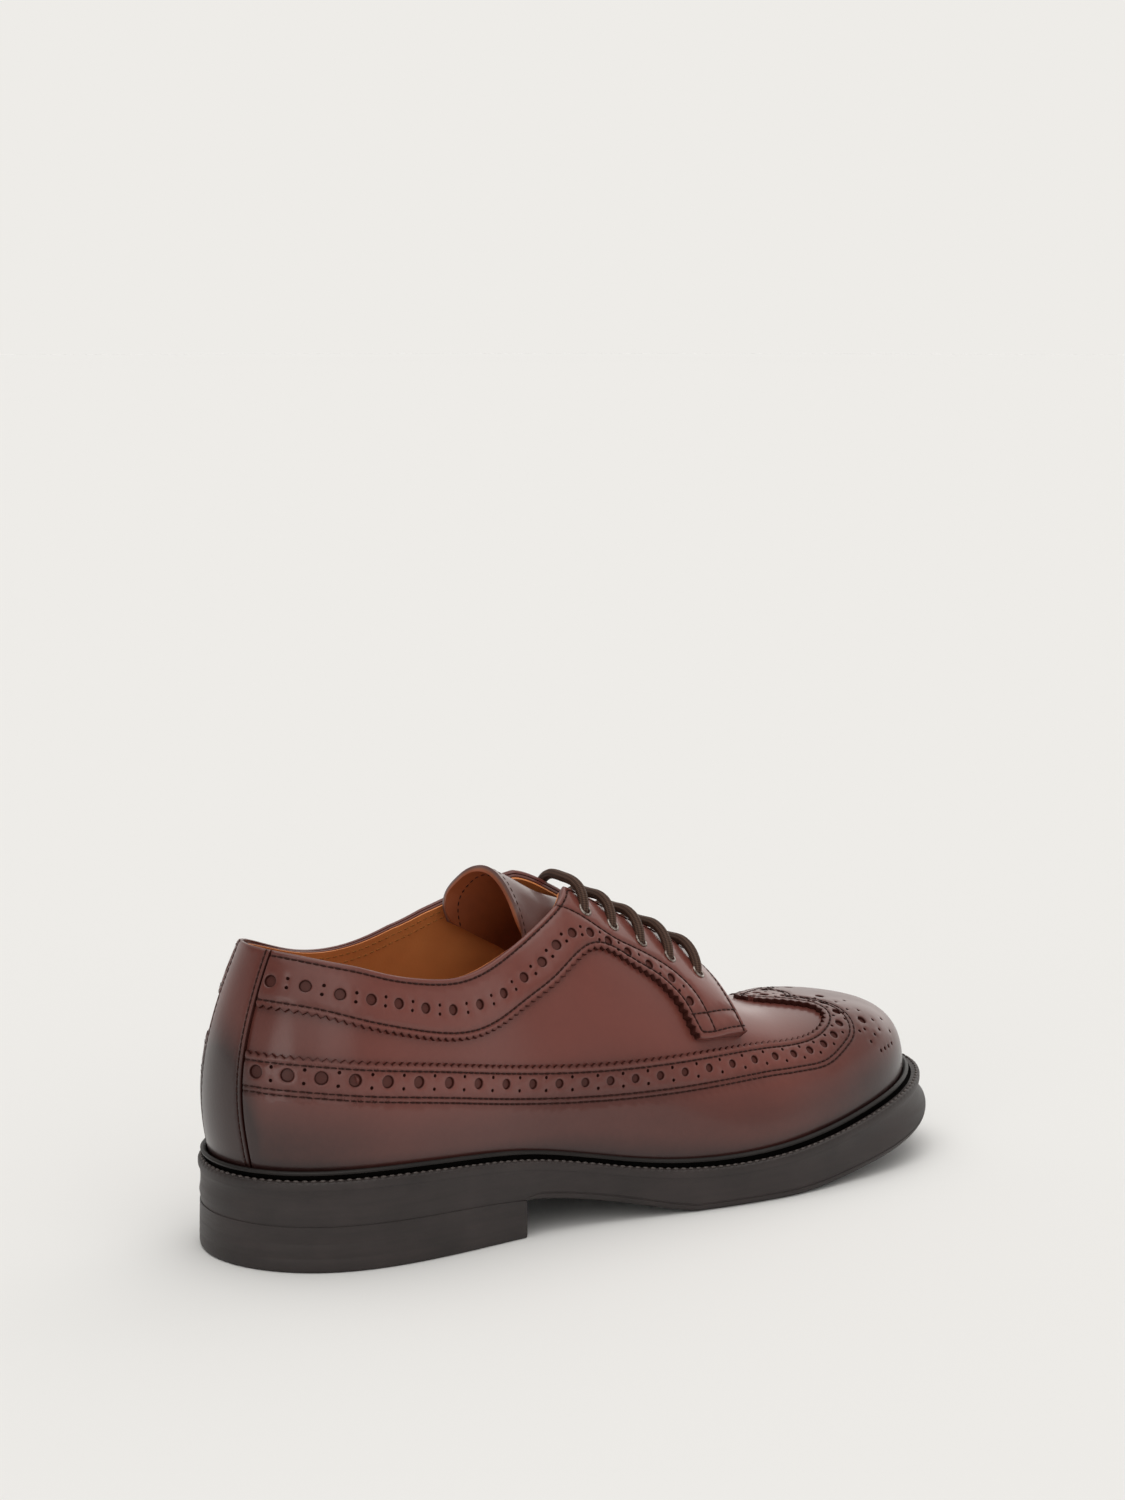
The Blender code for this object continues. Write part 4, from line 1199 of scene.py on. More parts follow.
@dataclass
class Stitches:
    """Rows of thread stitches as one piece."""

    name: str
    thread: Finish
    length: float = 2.3
    width: float = 0.62
    height: float = 0.6
    spots: list[Array] = field(default_factory=list)
    along: list[Array] = field(default_factory=list)
    up: list[Array] = field(default_factory=list)

    def add_row(self, spots: Array, up: Array) -> None:
        """Add a row: one stitch at the middle of each step of a line of places with normals.

        Args:
            spots: places where the thread enters the leather.
            up: the leather's normals there.
        """
        self.spots.append(0.5 * (spots[1:] + spots[:-1]))
        self.along.append(unit(np.diff(spots, axis=0)))
        self.up.append(unit(up[1:] + up[:-1]))

    def build(self) -> Piece:
        """Instance the stitches and make them one plain mesh.

        Returns:
            Object with all the stitches.
        """
        sizes = {"Length": self.length * MM, "Width": self.width * MM, "Height": self.height * MM}
        sizes["Thread"] = self.thread.material()
        leans = {"along": np.concatenate(self.along), "up": np.concatenate(self.up)}
        tree = scatter_tree("stitch_row", ("Length", "Width", "Height"), "Thread", stitch_shape)
        return realized(self.name, np.concatenate(self.spots), leans, tree, sizes)


@dataclass
class EdgeRun:
    """One stretch of a panel's outline."""

    line: Array
    kind: EdgeKind


@dataclass
class Hole:
    """A round hole in a panel; a blind one has a floor, painted dark as shade."""

    centre: Array
    radius: float
    through: bool = False


@dataclass(frozen=True)
class Punch:
    """Shape of a hole: its corners, the width of its dished lip, and how deep the dish and the rim lie."""

    corners: int
    lip: float
    dish: float
    rim: float


BIG_PUNCH = Punch(16, 0.5, 0.12, 0.32)
SMALL_PUNCH = Punch(8, 0.2, 0.06, 0.2)
BIG_RADIUS = 1.2


@dataclass
class Panel:
    """Leather panel cut from the flat pattern and laid on the last, with rounded edges, holes and seams."""

    name: str
    surface: LastSurface
    finish: Finish
    height: Callable[[Array], Array]
    bottom: float
    outline: list[EdgeRun]
    opening: Array | None = None
    holes: list[Hole] = field(default_factory=list)
    seams: list[Array] = field(default_factory=list)
    cell: float = 2.2
    edge_pitch: float = 1.2
    tooth_pitch: float = 3.0
    tooth_depth: float = 1.2
    tooth_steps: int = 6
    plain_round: float = 0.45
    folded_round: float = 0.9
    edge_profile: tuple = ((0.0, 0.85), (0.3, 0.3), (1.1, 0.0))
    opening_profile: tuple = ((0.0, 0.5), (0.3, 0.14), (0.9, 0.0))
    hole_depth: float = 0.95
    hole_taper: float = 0.06
    lip_share: float = 0.3
    floor_radius: float = 0.78
    seam_depth: float = 0.42
    seam_width: float = 0.6
    seam_pitch: float = 1.1
    seam_step: float = 0.5
    seam_fall: float = 1.4
    # Darkness painted on the leather: dyed cut edges with painted shadow on their rounded top, folded and opening
    # edges a little; painted shade in the holes and the stitch troughs
    plain_shade: float = 0.85
    folded_shade: float = 0.2
    opening_shade: float = 0.6
    lip_shade: float = 0.25
    rim_shade: float = 0.8
    wall_shade: float = 0.9
    floor_shade: float = 0.52
    seam_shade: float = 0.6
    points: list[Array] = field(default_factory=list, init=False)
    drops: list[Array] = field(default_factory=list, init=False)
    shades: list[Array] = field(default_factory=list, init=False)
    edges: list[Array] = field(default_factory=list, init=False)
    borders: list[Array] = field(default_factory=list, init=False)
    count: int = field(default=0, init=False)

    def build(self) -> Piece:
        """Triangulate the pattern and raise it to a closed sheet of leather.

        Returns:
            The panel's object.
        """
        self.lay_outline()
        if self.opening is not None:
            self.lay_opening()
        if self.holes:
            self.lay_holes()
        for line in self.seams:
            self.lay_seam(line)
        self.lay_inside()
        return self.raise_sheet()

    def add(self, points: Array, drop: Array | float, shade: Array | float = 0.0, loop: bool = False) -> Array:
        """Keep points of the pattern.

        Args:
            points: flat points.
            drop: how far they lie below the panel's face, for all or for each.
            shade: how dark the leather is painted there, dyed edge or painted shade, for all or for each.
            loop: whether they make a closed line of the triangulation.

        Returns:
            Numbers of the points.
        """
        ids = np.arange(self.count, self.count + len(points))
        self.count += len(points)
        self.points.append(points)
        self.drops.append(np.broadcast_to(np.asarray(drop, float), len(points)))
        self.shades.append(np.broadcast_to(np.asarray(shade, float), len(points)))
        if loop:
            self.edges.append(np.stack([ids, np.roll(ids, -1)], -1))
        return ids

    def lay_outline(self) -> None:
        """Outline with its rounded or gimped edge, painted dark as dye and shadow; the panel lies to the left of it.
        """
        lines, teeth, rounds, backs = [], [], [], []
        for run in self.outline:
            is_gimped = run.kind is EdgeKind.GIMPED
            pitch = self.tooth_pitch / self.tooth_steps if is_gimped else self.edge_pitch
            line = self.surface.even(run.line, pitch)[:-1]
            phase = np.arange(len(line)) / self.tooth_steps
            wave = (np.abs(2 * (phase % 1.0) - 1) - 0.5) * self.tooth_depth
            lines.append(line)
            teeth.append(wave if is_gimped else np.zeros(len(line)))
            backs.append(np.full(len(line), 0.5 * self.tooth_depth if is_gimped else 0.0))
            rounds.append(np.full(len(line), self.folded_round if run.kind is EdgeKind.FOLDED else self.plain_round))
        line, tooth, back, round_off = (np.concatenate(rows) for rows in (lines, teeth, backs, rounds))
        # Cut edges are painted dark onto their rounded top: the edge's dye and painted shadow; folded edges only a
        # little
        dark = np.where(round_off > self.plain_round, self.folded_shade, self.plain_shade)
        most = self.edge_profile[0][1]
        for start, (inset, drop) in zip((tooth, tooth, back), self.edge_profile):
            moved = self.surface.offset(line, start + inset * round_off, closed=True)
            ids = self.add(moved, drop * round_off, dark * np.sqrt(drop / most), True)
            if drop == most:
                self.borders.append(ids)

    def lay_opening(self) -> None:
        """Opening in the middle of the pattern, its edge rounded; the panel lies to its right."""
        for number, (inset, drop) in enumerate(self.opening_profile):
            moved = self.surface.offset(self.opening, -inset, closed=True)
            ids = self.add(moved, drop, self.opening_shade * drop, True)
            if number == 0:
                self.borders.append(ids)

    def lay_holes(self) -> None:
        """Rings of the holes: a dished rim, a steep wall and a floor, painted darker as shade, or a through hole."""
        centres = np.array([hole.centre for hole in self.holes])
        _, normals, slopes = self.surface.frame_at(centres)
        first = unit(slopes[..., 0])
        second = np.cross(normals, first)
        inverse = np.linalg.pinv(slopes)
        for hole, u, v, back in zip(self.holes, first, second, inverse):
            r = hole.radius
            is_big = r > BIG_RADIUS
            punch = BIG_PUNCH if is_big else SMALL_PUNCH
            angle = np.linspace(0, 2 * np.pi, punch.corners, endpoint=False)
            chart = (np.cos(angle)[:, None] * u + np.sin(angle)[:, None] * v) @ back.T
            # The dish, rim, wall and floor are painted darker: painted shade, the wall partly a dyed cut edge
            rings = [(r + punch.lip, 0.0, 0.0), (r + self.lip_share * punch.lip, punch.dish, self.lip_shade)]
            rings.append((r, punch.rim, self.rim_shade))
            if not hole.through:
                rings.append((r - self.hole_taper, self.hole_depth, self.wall_shade))
                if is_big:
                    rings.append((self.floor_radius * r, self.hole_depth, self.floor_shade))
            for radius, drop, shade in rings:
                ids = self.add(hole.centre + chart * radius, drop, shade, True)
            if hole.through:
                self.borders.append(ids)
            else:
                self.add(hole.centre[None], self.hole_depth, self.floor_shade if is_big else self.wall_shade)

    def lay_seam(self, line: Array) -> None:
        """Points along a stitched row and on both sides of it, so that its trough is crisp.

        Args:
            line: flat points of the row.
        """
        middle = self.surface.even(line, self.seam_pitch)
        for distance in (0.0, self.seam_width, -self.seam_width):
            self.add(self.surface.offset(middle, distance), 0.0)

    def lay_inside(self) -> None:
        """Even points inside the outline, clear of the edges, holes and seams."""
        placed = np.concatenate(self.points)
        border = placed[self.borders[0]]
        low, high = border.min(axis=0), border.max(axis=0)
        cells = []
        for k, y in enumerate(np.arange(low[1], high[1], self.cell * TRIANGLE_HEIGHT)):
            xs = np.arange(low[0] + 0.5 * self.cell * (k % 2), high[0], self.cell)
            cells.append(np.stack([xs, np.full_like(xs, y)], -1))
        grid = np.concatenate(cells)
        grid = grid[inside(grid, border)]
        for ids in self.borders[1:]:
            grid = grid[~inside(grid, placed[ids])]
        tree = point_tree(placed)
        clear = [tree.find((x, y, 0.0))[2] > 0.5 * self.cell for x, y in grid]
        self.add(grid[np.array(clear, bool)], 0.0)

    def triangulate(self) -> tuple[Array, Array, Array, NDArray[np.int_]]:
        """Flat points, drops and shades of the leather, and its triangles, all turned one way.

        Returns:
            Points, drops, shades, and three point numbers for each triangle.
        """
        flat, drop, shade = (np.concatenate(rows) for rows in (self.points, self.drops, self.shades))
        edges, borders = np.concatenate(self.edges).tolist(), [ids.tolist() for ids in self.borders]
        made = delaunay_2d_cdt([Vector(p) for p in flat], edges, borders, 1, SAME_POINT)
        verts, _, triangles, origins, _, owners = made
        spots = np.array([tuple(v) for v in verts])
        drops, shades = (np.array([rows[o[0]] if o else 0.0 for o in origins]) for rows in (drop, shade))
        keep = np.array([t for t, owner in zip(triangles, owners) if list(owner) == [0]])
        a, b, c = (spots[keep[:, k]] for k in range(3))
        area = (b[:, 0] - a[:, 0]) * (c[:, 1] - a[:, 1]) - (b[:, 1] - a[:, 1]) * (c[:, 0] - a[:, 0])
        keep[area < 0] = keep[area < 0][:, ::-1]
        used = np.unique(keep)
        number = np.full(len(spots), -1)
        number[used] = np.arange(len(used))
        return spots[used], drops[used], shades[used], number[keep]

    def raise_sheet(self) -> Piece:
        """Lay the sheet's two faces on the last, with its troughs, tones and painted shade, and close it round the
        edges.

        Returns:
            The panel's object.
        """
        spots, drops, shades, keep = self.triangulate()
        trough = np.zeros(len(spots))
        if self.seams:
            tree = point_tree(np.concatenate([self.surface.even(line, self.seam_step) for line in self.seams]))
            away = np.array([tree.find((x, y, 0.0))[2] for x, y in spots])
            trough = np.exp(-((away / self.seam_width) ** 2) * self.seam_fall)
        turn, rise = self.surface.roll(spots)
        base = self.surface.face(turn, rise)
        normal = np.zeros_like(base)
        p, q, r = (base[keep[:, k]] for k in range(3))
        lean = np.cross(q - p, r - p)
        for k in range(3):
            np.add.at(normal, keep[:, k], lean)
        normal = unit(normal)
        top = base + normal * (self.height(self.surface.station(turn)) - drops - self.seam_depth * trough)[:, None]
        low = base + normal * self.bottom
        total = len(spots)
        sides = np.concatenate([keep[:, [0, 1]], keep[:, [1, 2]], keep[:, [2, 0]]])
        _, first, counts = np.unique(np.sort(sides, axis=1), axis=0, return_index=True, return_counts=True)
        a, b = sides[first[counts == 1]].T
        walls = np.stack([b, a, a + total, b + total], -1)
        faces = keep.tolist() + (keep[:, ::-1] + total).tolist() + walls.tolist()
        piece = shoe_object(self.name, np.concatenate([top, low]), faces, self.finish)
        # Stitch troughs are painted darker: painted shade; the lower face keeps the dark of the edges above it
        edge = np.clip(shades + self.seam_shade * trough, 0, 1)
        foot = np.where(shades > 0.5, self.plain_shade, shades)
        set_float(piece, "edge", np.concatenate([edge, foot]))
        set_float(piece, "burnish", np.tile(darkening_at(base, rise), 2))
        return piece


def inside(points: Array, loop: Array) -> NDArray[np.bool_]:
    """Which points lie inside a closed loop.

    Args:
        points: flat points.
        loop: flat corners of the loop.

    Returns:
        True for each point inside.
    """
    result = np.zeros(len(points), bool)
    ends = np.roll(loop, -1, axis=0)
    for (x0, y0), (x1, y1) in zip(loop, ends):
        if y0 == y1:
            continue
        crosses = (y0 > points[:, 1]) != (y1 > points[:, 1])
        where = x0 + (points[:, 1] - y0) / (y1 - y0) * (x1 - x0)
        result ^= crosses & (points[:, 0] < where)
    return result


@dataclass
class Pattern:
    """Master lines of the upper on the flat pattern."""

    surface: LastSurface
    strip_edge: Curve = field(default_factory=lambda: table_curve(STRIP_EDGE))
    wing_edge: Curve = field(default_factory=lambda: table_curve(WING_EDGE))
    quarter_edge: Curve = field(default_factory=lambda: table_curve(QUARTER_EDGE))
    facing_front: Curve = field(default_factory=lambda: table_curve(FACING_FRONT_EDGE))

    strip_steps: int = 60
    beside_steps: int = 40
    wing_bend: float = 0.357
    wing_knots: int = 42
    wing_steps: int = 700
    low_steps: int = 220
    front_steps: int = 40
    top_steps: int = 260
    opening_steps: int = 240
    passes: int = 8

    def beside_strip(self, turn: Array, rise: Array) -> Array:
        """Turns on the outer side, pushed out of the heel strip's way."""
        away = smooth_step(0.0, STRIP_BLEND, turn)
        return turn + (self.strip_edge(rise) + STRIP_CLEAR) * (1 - away)

    def on_side(self, turn: Array, side: Side) -> Array:
        """Turns of the outer side, or the ones that face them on the inner side."""
        return turn if side is Side.OUTER else 1 - turn

    def along_strip(self, side: Side, rise: Array, clear: float = 0.0) -> Array:
        """Side of the heel strip at some rises, or a line that keeps clear of it."""
        turn = self.strip_edge(rise) + clear
        return self.surface.flat(turn if side is Side.OUTER else -turn, rise)

    def strip_line(self, side: Side) -> Array:
        """Side of the heel strip, from the welt to the collar."""
        top = float(self.surface.top_rise(np.zeros(1))[0])
        return self.along_strip(side, np.linspace(OVERLAY_FOOT, top, self.strip_steps))

    def beside_line(self, side: Side, low: float, high: float) -> Array:
        """Line just outside the heel strip between two rises."""
        return self.along_strip(side, np.linspace(low, high, self.beside_steps), STRIP_CLEAR)

    def edge_line(self, turns: Array, rise: Array, side: Side) -> Array:
        """Flat line on one side of the foot that starts beside the heel strip."""
        return self.surface.flat(self.on_side(self.beside_strip(turns, rise), side), rise)

    def wing_top(self, side: Side) -> Array:
        """Top edge of the wing, from the heel strip round the bend to its point on the ridge.

        Args:
            side: side of the shoe.

        Returns:
            Flat points.
        """
        turns = np.linspace(0.0, self.wing_bend, self.wing_knots)
        rise = self.surface.rise_at(self.on_side(turns, side), self.wing_edge)
        peak = np.array(WING_PEAK)
        bend = self.surface.flat(self.on_side(peak[:, 0], side), peak[:, 1])
        return spline_through(np.concatenate([self.edge_line(turns, rise, side), bend]), self.wing_steps)

    def quarter_low(self, side: Side) -> Array:
        """Lower edge of the quarter, from the heel strip to the facing's front corner."""
        turns = np.linspace(0.0, FACING_FRONT_EDGE[0][1], self.low_steps)
        return self.edge_line(turns, self.surface.rise_at(self.on_side(turns, side), self.quarter_edge), side)

    def facing_line(self, side: Side) -> Array:
        """Front edge of the facing, from its lower corner to the throat.

        Args:
            side: side of the shoe.

        Returns:
            Flat points.
        """
        corner = np.array([FACING_FRONT_EDGE[0][1]])
        reach = np.array([FACING_FRONT_EDGE[-1][1]])
        low = self.surface.rise_at(self.on_side(corner, side), self.quarter_edge)[0]
        high = self.surface.top_rise(self.on_side(reach, side))[0]
        rows = np.linspace(0.0, 1.0, self.front_steps)
        return self.surface.flat(self.on_side(self.facing_front(rows), side), low + rows * (high - low))

    def top_line(self, side: Side) -> Array:
        """Collar and throat edge, from the heel strip to the facing's front."""
        turns = np.linspace(0.0, FACING_FRONT_EDGE[-1][1], self.top_steps)
        return self.edge_line(turns, self.surface.top_rise(self.on_side(turns, side)), side)

    def drawn(self, rows: Sequence[tuple[float, float]], side: Side, count: int = 160) -> Array:
        """Smooth row through drawn places.

        Args:
            rows: station and height of each place on the upper.
            side: side of the foot.
            count: number of points of the row.

        Returns:
            Flat points of the row.
        """
        station, height = np.array(rows).T
        foot = station.copy()
        for _ in range(self.passes):
            turns = self.on_side(self.surface.turn_at(foot), side)
            rise = self.surface.find_rise(turns, lambda point: point[..., 2] - height)
            foot += station - self.surface.face(turns, rise)[:, 0]
        return spline_through(self.surface.flat(turns, rise), count)

    def opening(self) -> Array:
        """Loop of the collar and the throat, anticlockwise as seen from outside.

        Returns:
            Flat points.
        """
        last = float(self.surface.turn_at(THROAT_END))
        turns = np.linspace(0.0, last, self.opening_steps)
        turns = np.concatenate([turns, 1 - np.linspace(last, 0.0, self.opening_steps)[:-1]])
        return self.surface.flat(turns, self.surface.top_rise(turns))

    def foot(self, start: float, end: float, rise: float, count: int = 400) -> Array:
        """Line of even rise round the foot between two turns."""
        turns = np.linspace(start, end, count)
        return self.surface.flat(turns, np.full(count, rise))

    def eyelets(self, side: Side) -> list[Array]:
        """Flat points of one side's eyelets, from the top of the facing to the vamp.

        Args:
            side: side of the shoe.

        Returns:
            Flat points.
        """
        spots = []
        for k in range(EYELETS):
            turn, rise = self.surface.eyelet(EYELET_FIRST + EYELET_PITCH * k, side, EYELET_HALF + EYELET_SPREAD * k)
            spots.append(self.surface.flat(np.array([turn]), np.array([rise]))[0])
        return spots


@dataclass
class SewnPart:
    """Base of the sewn leather pieces: lays stitch rows on a panel's face."""

    pattern: Pattern

    def sew(
        self, stitches: Stitches, line: Array, height: Callable[[Array], Array], pitch: float = 2.4, sink: float = 0.2
    ) -> None:
        """Add a stitched row to a piece of stitches.

        Args:
            stitches: the piece that takes the row.
            line: flat points of the row.
            height: height of the leather's face over the upper.
            pitch: distance from stitch to stitch.
            sink: how far the thread lies in its trough.
        """
        surface = self.pattern.surface
        row = surface.even(line, pitch)
        spot, normal, _ = surface.frame_at(row)
        turn, _ = surface.roll(row)
        stitches.add_row(spot + normal * (height(surface.station(turn)) - sink)[:, None], normal)

    def overlay(self, panel: Panel, node: str, thread_name: str) -> None:
        """Make a panel and the stitches of its seams.

        Args:
            panel: the panel, with its seams.
            node: CAD node that the panel stands for.
            thread_name: name of the stitches' piece.
        """
        thread = Stitches(thread_name, DARK_THREAD)
        for seam in panel.seams:
            self.sew(thread, seam, panel.height)
        enlist(panel.build(), Slot.UPPER, node)
        enlist(thread.build(), Slot.UPPER)


@dataclass
class PunchedPart(SewnPart):
    """Sewn piece with a brogue row: big holes, and a pair of small ones across the row between them."""

    pitch: tuple = ()
    first_hole: float = 0.0
    hole_size: tuple = ()
    small_hole: float = 0.58
    small_spread: float = 0.0
    slope_step: float = 0.5

    def punched(self, line: Array) -> list[Hole]:
        """Holes of the row.

        Args:
            line: flat points of the row.

        Returns:
            Big and small holes.
        """
        surface = self.pattern.surface
        pitch, big = table_curve(self.pitch), table_curve(self.hole_size)
        spots = surface.face(*surface.roll(line))
        length = lengths(spots)
        places = [self.first_hole]
        while places[-1] < length[-1]:
            places.append(places[-1] + float(pitch(np.interp(places[-1], length, spots[:, 0]))))
        where = np.array(places[:-1])
        sizes = big(np.interp(where, length, spots[:, 0]))
        holes = [Hole(centre, float(size)) for centre, size in zip(at_lengths(line, length, where), sizes)]
        middle = 0.5 * (where[1:] + where[:-1])
        row, ahead = (at_lengths(line, length, middle + step) for step in (0.0, self.slope_step))
        _, normal, slopes = surface.frame_at(row)
        along = np.einsum("nij,nj->ni", slopes, ahead - row)
        across = np.einsum("nij,nj->ni", np.linalg.pinv(slopes), unit(np.cross(normal, along)))
        for side in (self.small_spread, -self.small_spread):
            holes += [Hole(centre, self.small_hole) for centre in row + side * across]
        return holes


@dataclass
class Vamp(SewnPart):
    """Lasted calf shell under the overlays, and the tan lining inside it."""

    calf: float = 1.2
    foot_steps: int = 600
    lining_rows: tuple[float, ...] = (2.4, 5.4)
    lining_pitch: float = 2.6
    lining_reach: float = 16.0
    lining_steps: int = 300

    def build(self) -> None:
        """Make the shell, the lining and the lining's stitched rows."""
        surface = self.pattern.surface
        loop = self.pattern.foot(0.0, 1.0, 0.0, self.foot_steps)
        holes = [Hole(spot, 0.5 * EYELET_HOLE, True) for side in Side for spot in self.pattern.eyelets(side)]
        opening = self.pattern.opening()

        def flush(station: Array) -> Array:
            """Height of the shell's face."""
            return np.zeros_like(station)

        def under(station: Array) -> Array:
            """Height of the lining's hidden face."""
            return np.full_like(station, -self.calf - LAYER_GAP)

        outline = [EdgeRun(loop, EdgeKind.PLAIN)]
        shell = Panel("upper_shell", surface, CALF, flush, -self.calf, outline, opening, holes, cell=2.6).build()
        enlist(shell, Slot.UPPER, "upper")
        lining = Panel(
            "upper_lining", surface, LINING_LEATHER, under, -UPPER_WALL, outline, opening, holes, cell=3.2
        ).build()
        enlist(lining, Slot.INSOLE)
        thread = Stitches("lining_stitches", TAN_THREAD, length=1.9, width=0.5, height=0.4)
        reach = float(surface.turn_at(THROAT_TOP + self.lining_reach))
        turns = np.linspace(-reach, reach, self.lining_steps)
        collar = surface.flat(turns, surface.top_rise(turns % 1.0))
        for distance in self.lining_rows:
            row = surface.even(surface.offset(collar, -distance), self.lining_pitch)
            spot, normal, _ = surface.frame_at(row)
            thread.add_row(spot - normal * (UPPER_WALL + LAYER_GAP), -normal)
        enlist(thread.build(), Slot.INSOLE)


@dataclass
class WingCap(PunchedPart):
    """Long wing over the toe and along both sides, gimped, punched and stitched."""

    edge_stitch: float = 2.4
    hole_row: float = 5.9
    lower_stitch: float = 10.9
    double_gap: float = 1.7
    toe_start: float = 222.0
    toe_steps: int = 500
    toe_pitch: float = 1.5
    arch_steps: int = 12
    ridge_clear: float = 1.5
    pitch: tuple = (
        # station, distance from hole to hole
        (0, 10.6), (25, 11.2), (45, 12.1), (90, 12.1), (112, 10.6), (140, 9.9), (200, 9.8), (212, 8.6), (240, 7.5),
        (300, 7.4),
    )
    first_hole: float = 4.6
    hole_size: tuple = ((0, 2.25), (45, 2.1), (90, 1.75), (300, 1.7))
    small_spread: float = 2.2

    def build(self) -> None:
        """Make the panel and its stitches."""
        pattern, surface = self.pattern, self.pattern.surface
        tops = {side: pattern.wing_top(side) for side in Side}
        foot_turn = float(pattern.strip_edge(OVERLAY_FOOT)) + STRIP_CLEAR
        ends = {}
        for side in Side:
            _, rise = surface.roll(tops[side][:1])
            ends[side] = pattern.beside_line(side, OVERLAY_FOOT, float(rise[0]))
        outline = [
            EdgeRun(pattern.foot(foot_turn, 1 - foot_turn, OVERLAY_FOOT), EdgeKind.PLAIN),
            EdgeRun(ends[Side.INNER], EdgeKind.PLAIN),
            EdgeRun(tops[Side.INNER], EdgeKind.GIMPED),
            EdgeRun(tops[Side.OUTER][::-1], EdgeKind.GIMPED),
            EdgeRun(ends[Side.OUTER][::-1], EdgeKind.PLAIN),
        ]
        holes, seams = [], []
        for side in Side:
            top = surface.even(tops[side], ROW_PITCH)
            holes += self.punched(self.trim(surface.offset(top, side.value * self.hole_row)))
            double = self.double_row(surface.offset(top, side.value * self.lower_stitch), side)
            arch = self.to_side(spline_through(np.array(TOE_ARCH), self.arch_steps), side)
            seams.append(self.trim(surface.offset(top, side.value * self.edge_stitch)))
            for line in (double, arch):
                seams += [line, surface.offset(line, side.value * self.double_gap)]
            holes += [Hole(self.to_side(np.array([x, y]), side), radius) for x, y, radius in MEDALLION]
        panel = Panel("wing_cap_panel", surface, CALF, wing_height, LAYER_GAP, outline, holes=holes, seams=seams)
        self.overlay(panel, "wing_cap", "wing_stitches")

    def to_side(self, spots: Array, side: Side) -> Array:
        """Flat points of the toe's outer half, or their mirror on the inner half.

        Args:
            spots: flat points of the outer half.
            side: side of the shoe.

        Returns:
            Flat points on that side.
        """
        if side is Side.OUTER:
            return spots
        mirror = 2 * self.pattern.surface.axis(spots[..., 0]) - spots[..., 1]
        return np.stack([spots[..., 0], mirror], -1)

    def double_row(self, line: Array, side: Side) -> Array:
        """Lower row: beside the wing's edge along the foot, then over the toe's top.

        Args:
            line: flat points beside the wing's edge.
            side: side of the shoe.

        Returns:
            Flat points.
        """
        behind = line[: int(np.argmax(line[:, 0] > self.toe_start))]
        over = self.to_side(np.array(TOE_ROW), side)
        line = spline_through(np.concatenate([behind[::4], over]), self.toe_steps)
        return self.pattern.surface.even(line, self.toe_pitch)

    def trim(self, line: Array) -> Array:
        """Part of a row that stays on its own side of the ridge."""
        return line[self.pattern.surface.off_axis(line) > self.ridge_clear]


@dataclass
class Quarter(PunchedPart):
    """Quarter overlay of one side: collar band, arch and facing with eyelets."""

    side: Side = Side.OUTER
    edge_stitch: float = 2.2
    collar_stitch: float = 1.9
    front_stitch: float = 1.7
    hem_start: float = 174.2
    row_steps: int = 400
    pitch: tuple = (
        # station, distance from hole to hole
        (0, 12.4), (20, 11.6), (38, 10.5), (45, 10.5), (60, 11.2), (95, 11.7), (107, 9.7), (116, 8.6), (128, 7.9),
        (138, 8.2), (146, 9.2), (165, 10.4), (200, 10.4),
    )
    first_hole: float = 6.5
    hole_size: tuple = ((0, 2.1), (50, 1.85), (120, 1.75), (200, 1.75))
    small_spread: float = 1.5

    def build(self) -> None:
        """Make the panel and its stitches."""
        pattern, surface, side = self.pattern, self.pattern.surface, self.side
        low, front, top = pattern.quarter_low(side), pattern.facing_line(side), pattern.top_line(side)
        _, rise = surface.roll(np.stack([low[0], top[0]]))
        end = pattern.beside_line(side, float(rise[0]), float(rise[1]))
        corner = int(np.argmax(surface.face(*surface.roll(low))[:, 0] > self.hem_start))
        runs = [
            EdgeRun(low[: corner + 1], EdgeKind.GIMPED),
            EdgeRun(low[corner:], EdgeKind.FOLDED),
            EdgeRun(front, EdgeKind.PLAIN),
            EdgeRun(top[::-1], EdgeKind.FOLDED),
            EdgeRun(end[::-1], EdgeKind.PLAIN),
        ]
        if side is Side.INNER:
            runs = [EdgeRun(run.line[::-1], run.kind) for run in runs[::-1]]
        edges = ((low, self.edge_stitch), (top, -self.collar_stitch), (front, self.front_stitch))
        rows = [surface.offset(surface.even(line, ROW_PITCH), -side.value * inset) for line, inset in edges]
        rows += [pattern.drawn(drawn, side) for drawn in (FACING_STITCH, FACING_CROSS)]
        holes = self.punched(pattern.drawn(QUARTER_ROW, side, self.row_steps))
        holes += [Hole(spot, 0.5 * EYELET_HOLE, True) for spot in pattern.eyelets(side)]
        name = f"quarter_{side.name.lower()}"
        panel = Panel(f"{name}_panel", surface, CALF, quarter_height, LAYER_GAP, runs, holes=holes, seams=rows)
        self.overlay(panel, name, f"{name}_stitches")


@dataclass
class Eyelets:
    """Rolled metal rings in the eyelet holes of both facings."""

    pattern: Pattern
    ring: float = 2.3
    roll: float = 0.42
    stand: float = 0.1

    def build(self) -> None:
        """Instance the rings and make them one plain mesh."""
        spots = np.array([spot for side in Side for spot in self.pattern.eyelets(side)])
        place, normal, _ = self.pattern.surface.frame_at(spots)
        turn, _ = self.pattern.surface.roll(spots)
        place = place + normal * (quarter_height(self.pattern.surface.station(turn)) + self.stand)[:, None]
        tree = scatter_tree("eyelet_rings", ("Ring Radius", "Roll Radius"), "Metal", eyelet_shape)
        sizes = {"Ring Radius": self.ring * MM, "Roll Radius": self.roll * MM, "Metal": EYELET_PAINT.material()}
        enlist(realized("eyelet_rings", place, {"up": normal}, tree, sizes), Slot.UPPER)


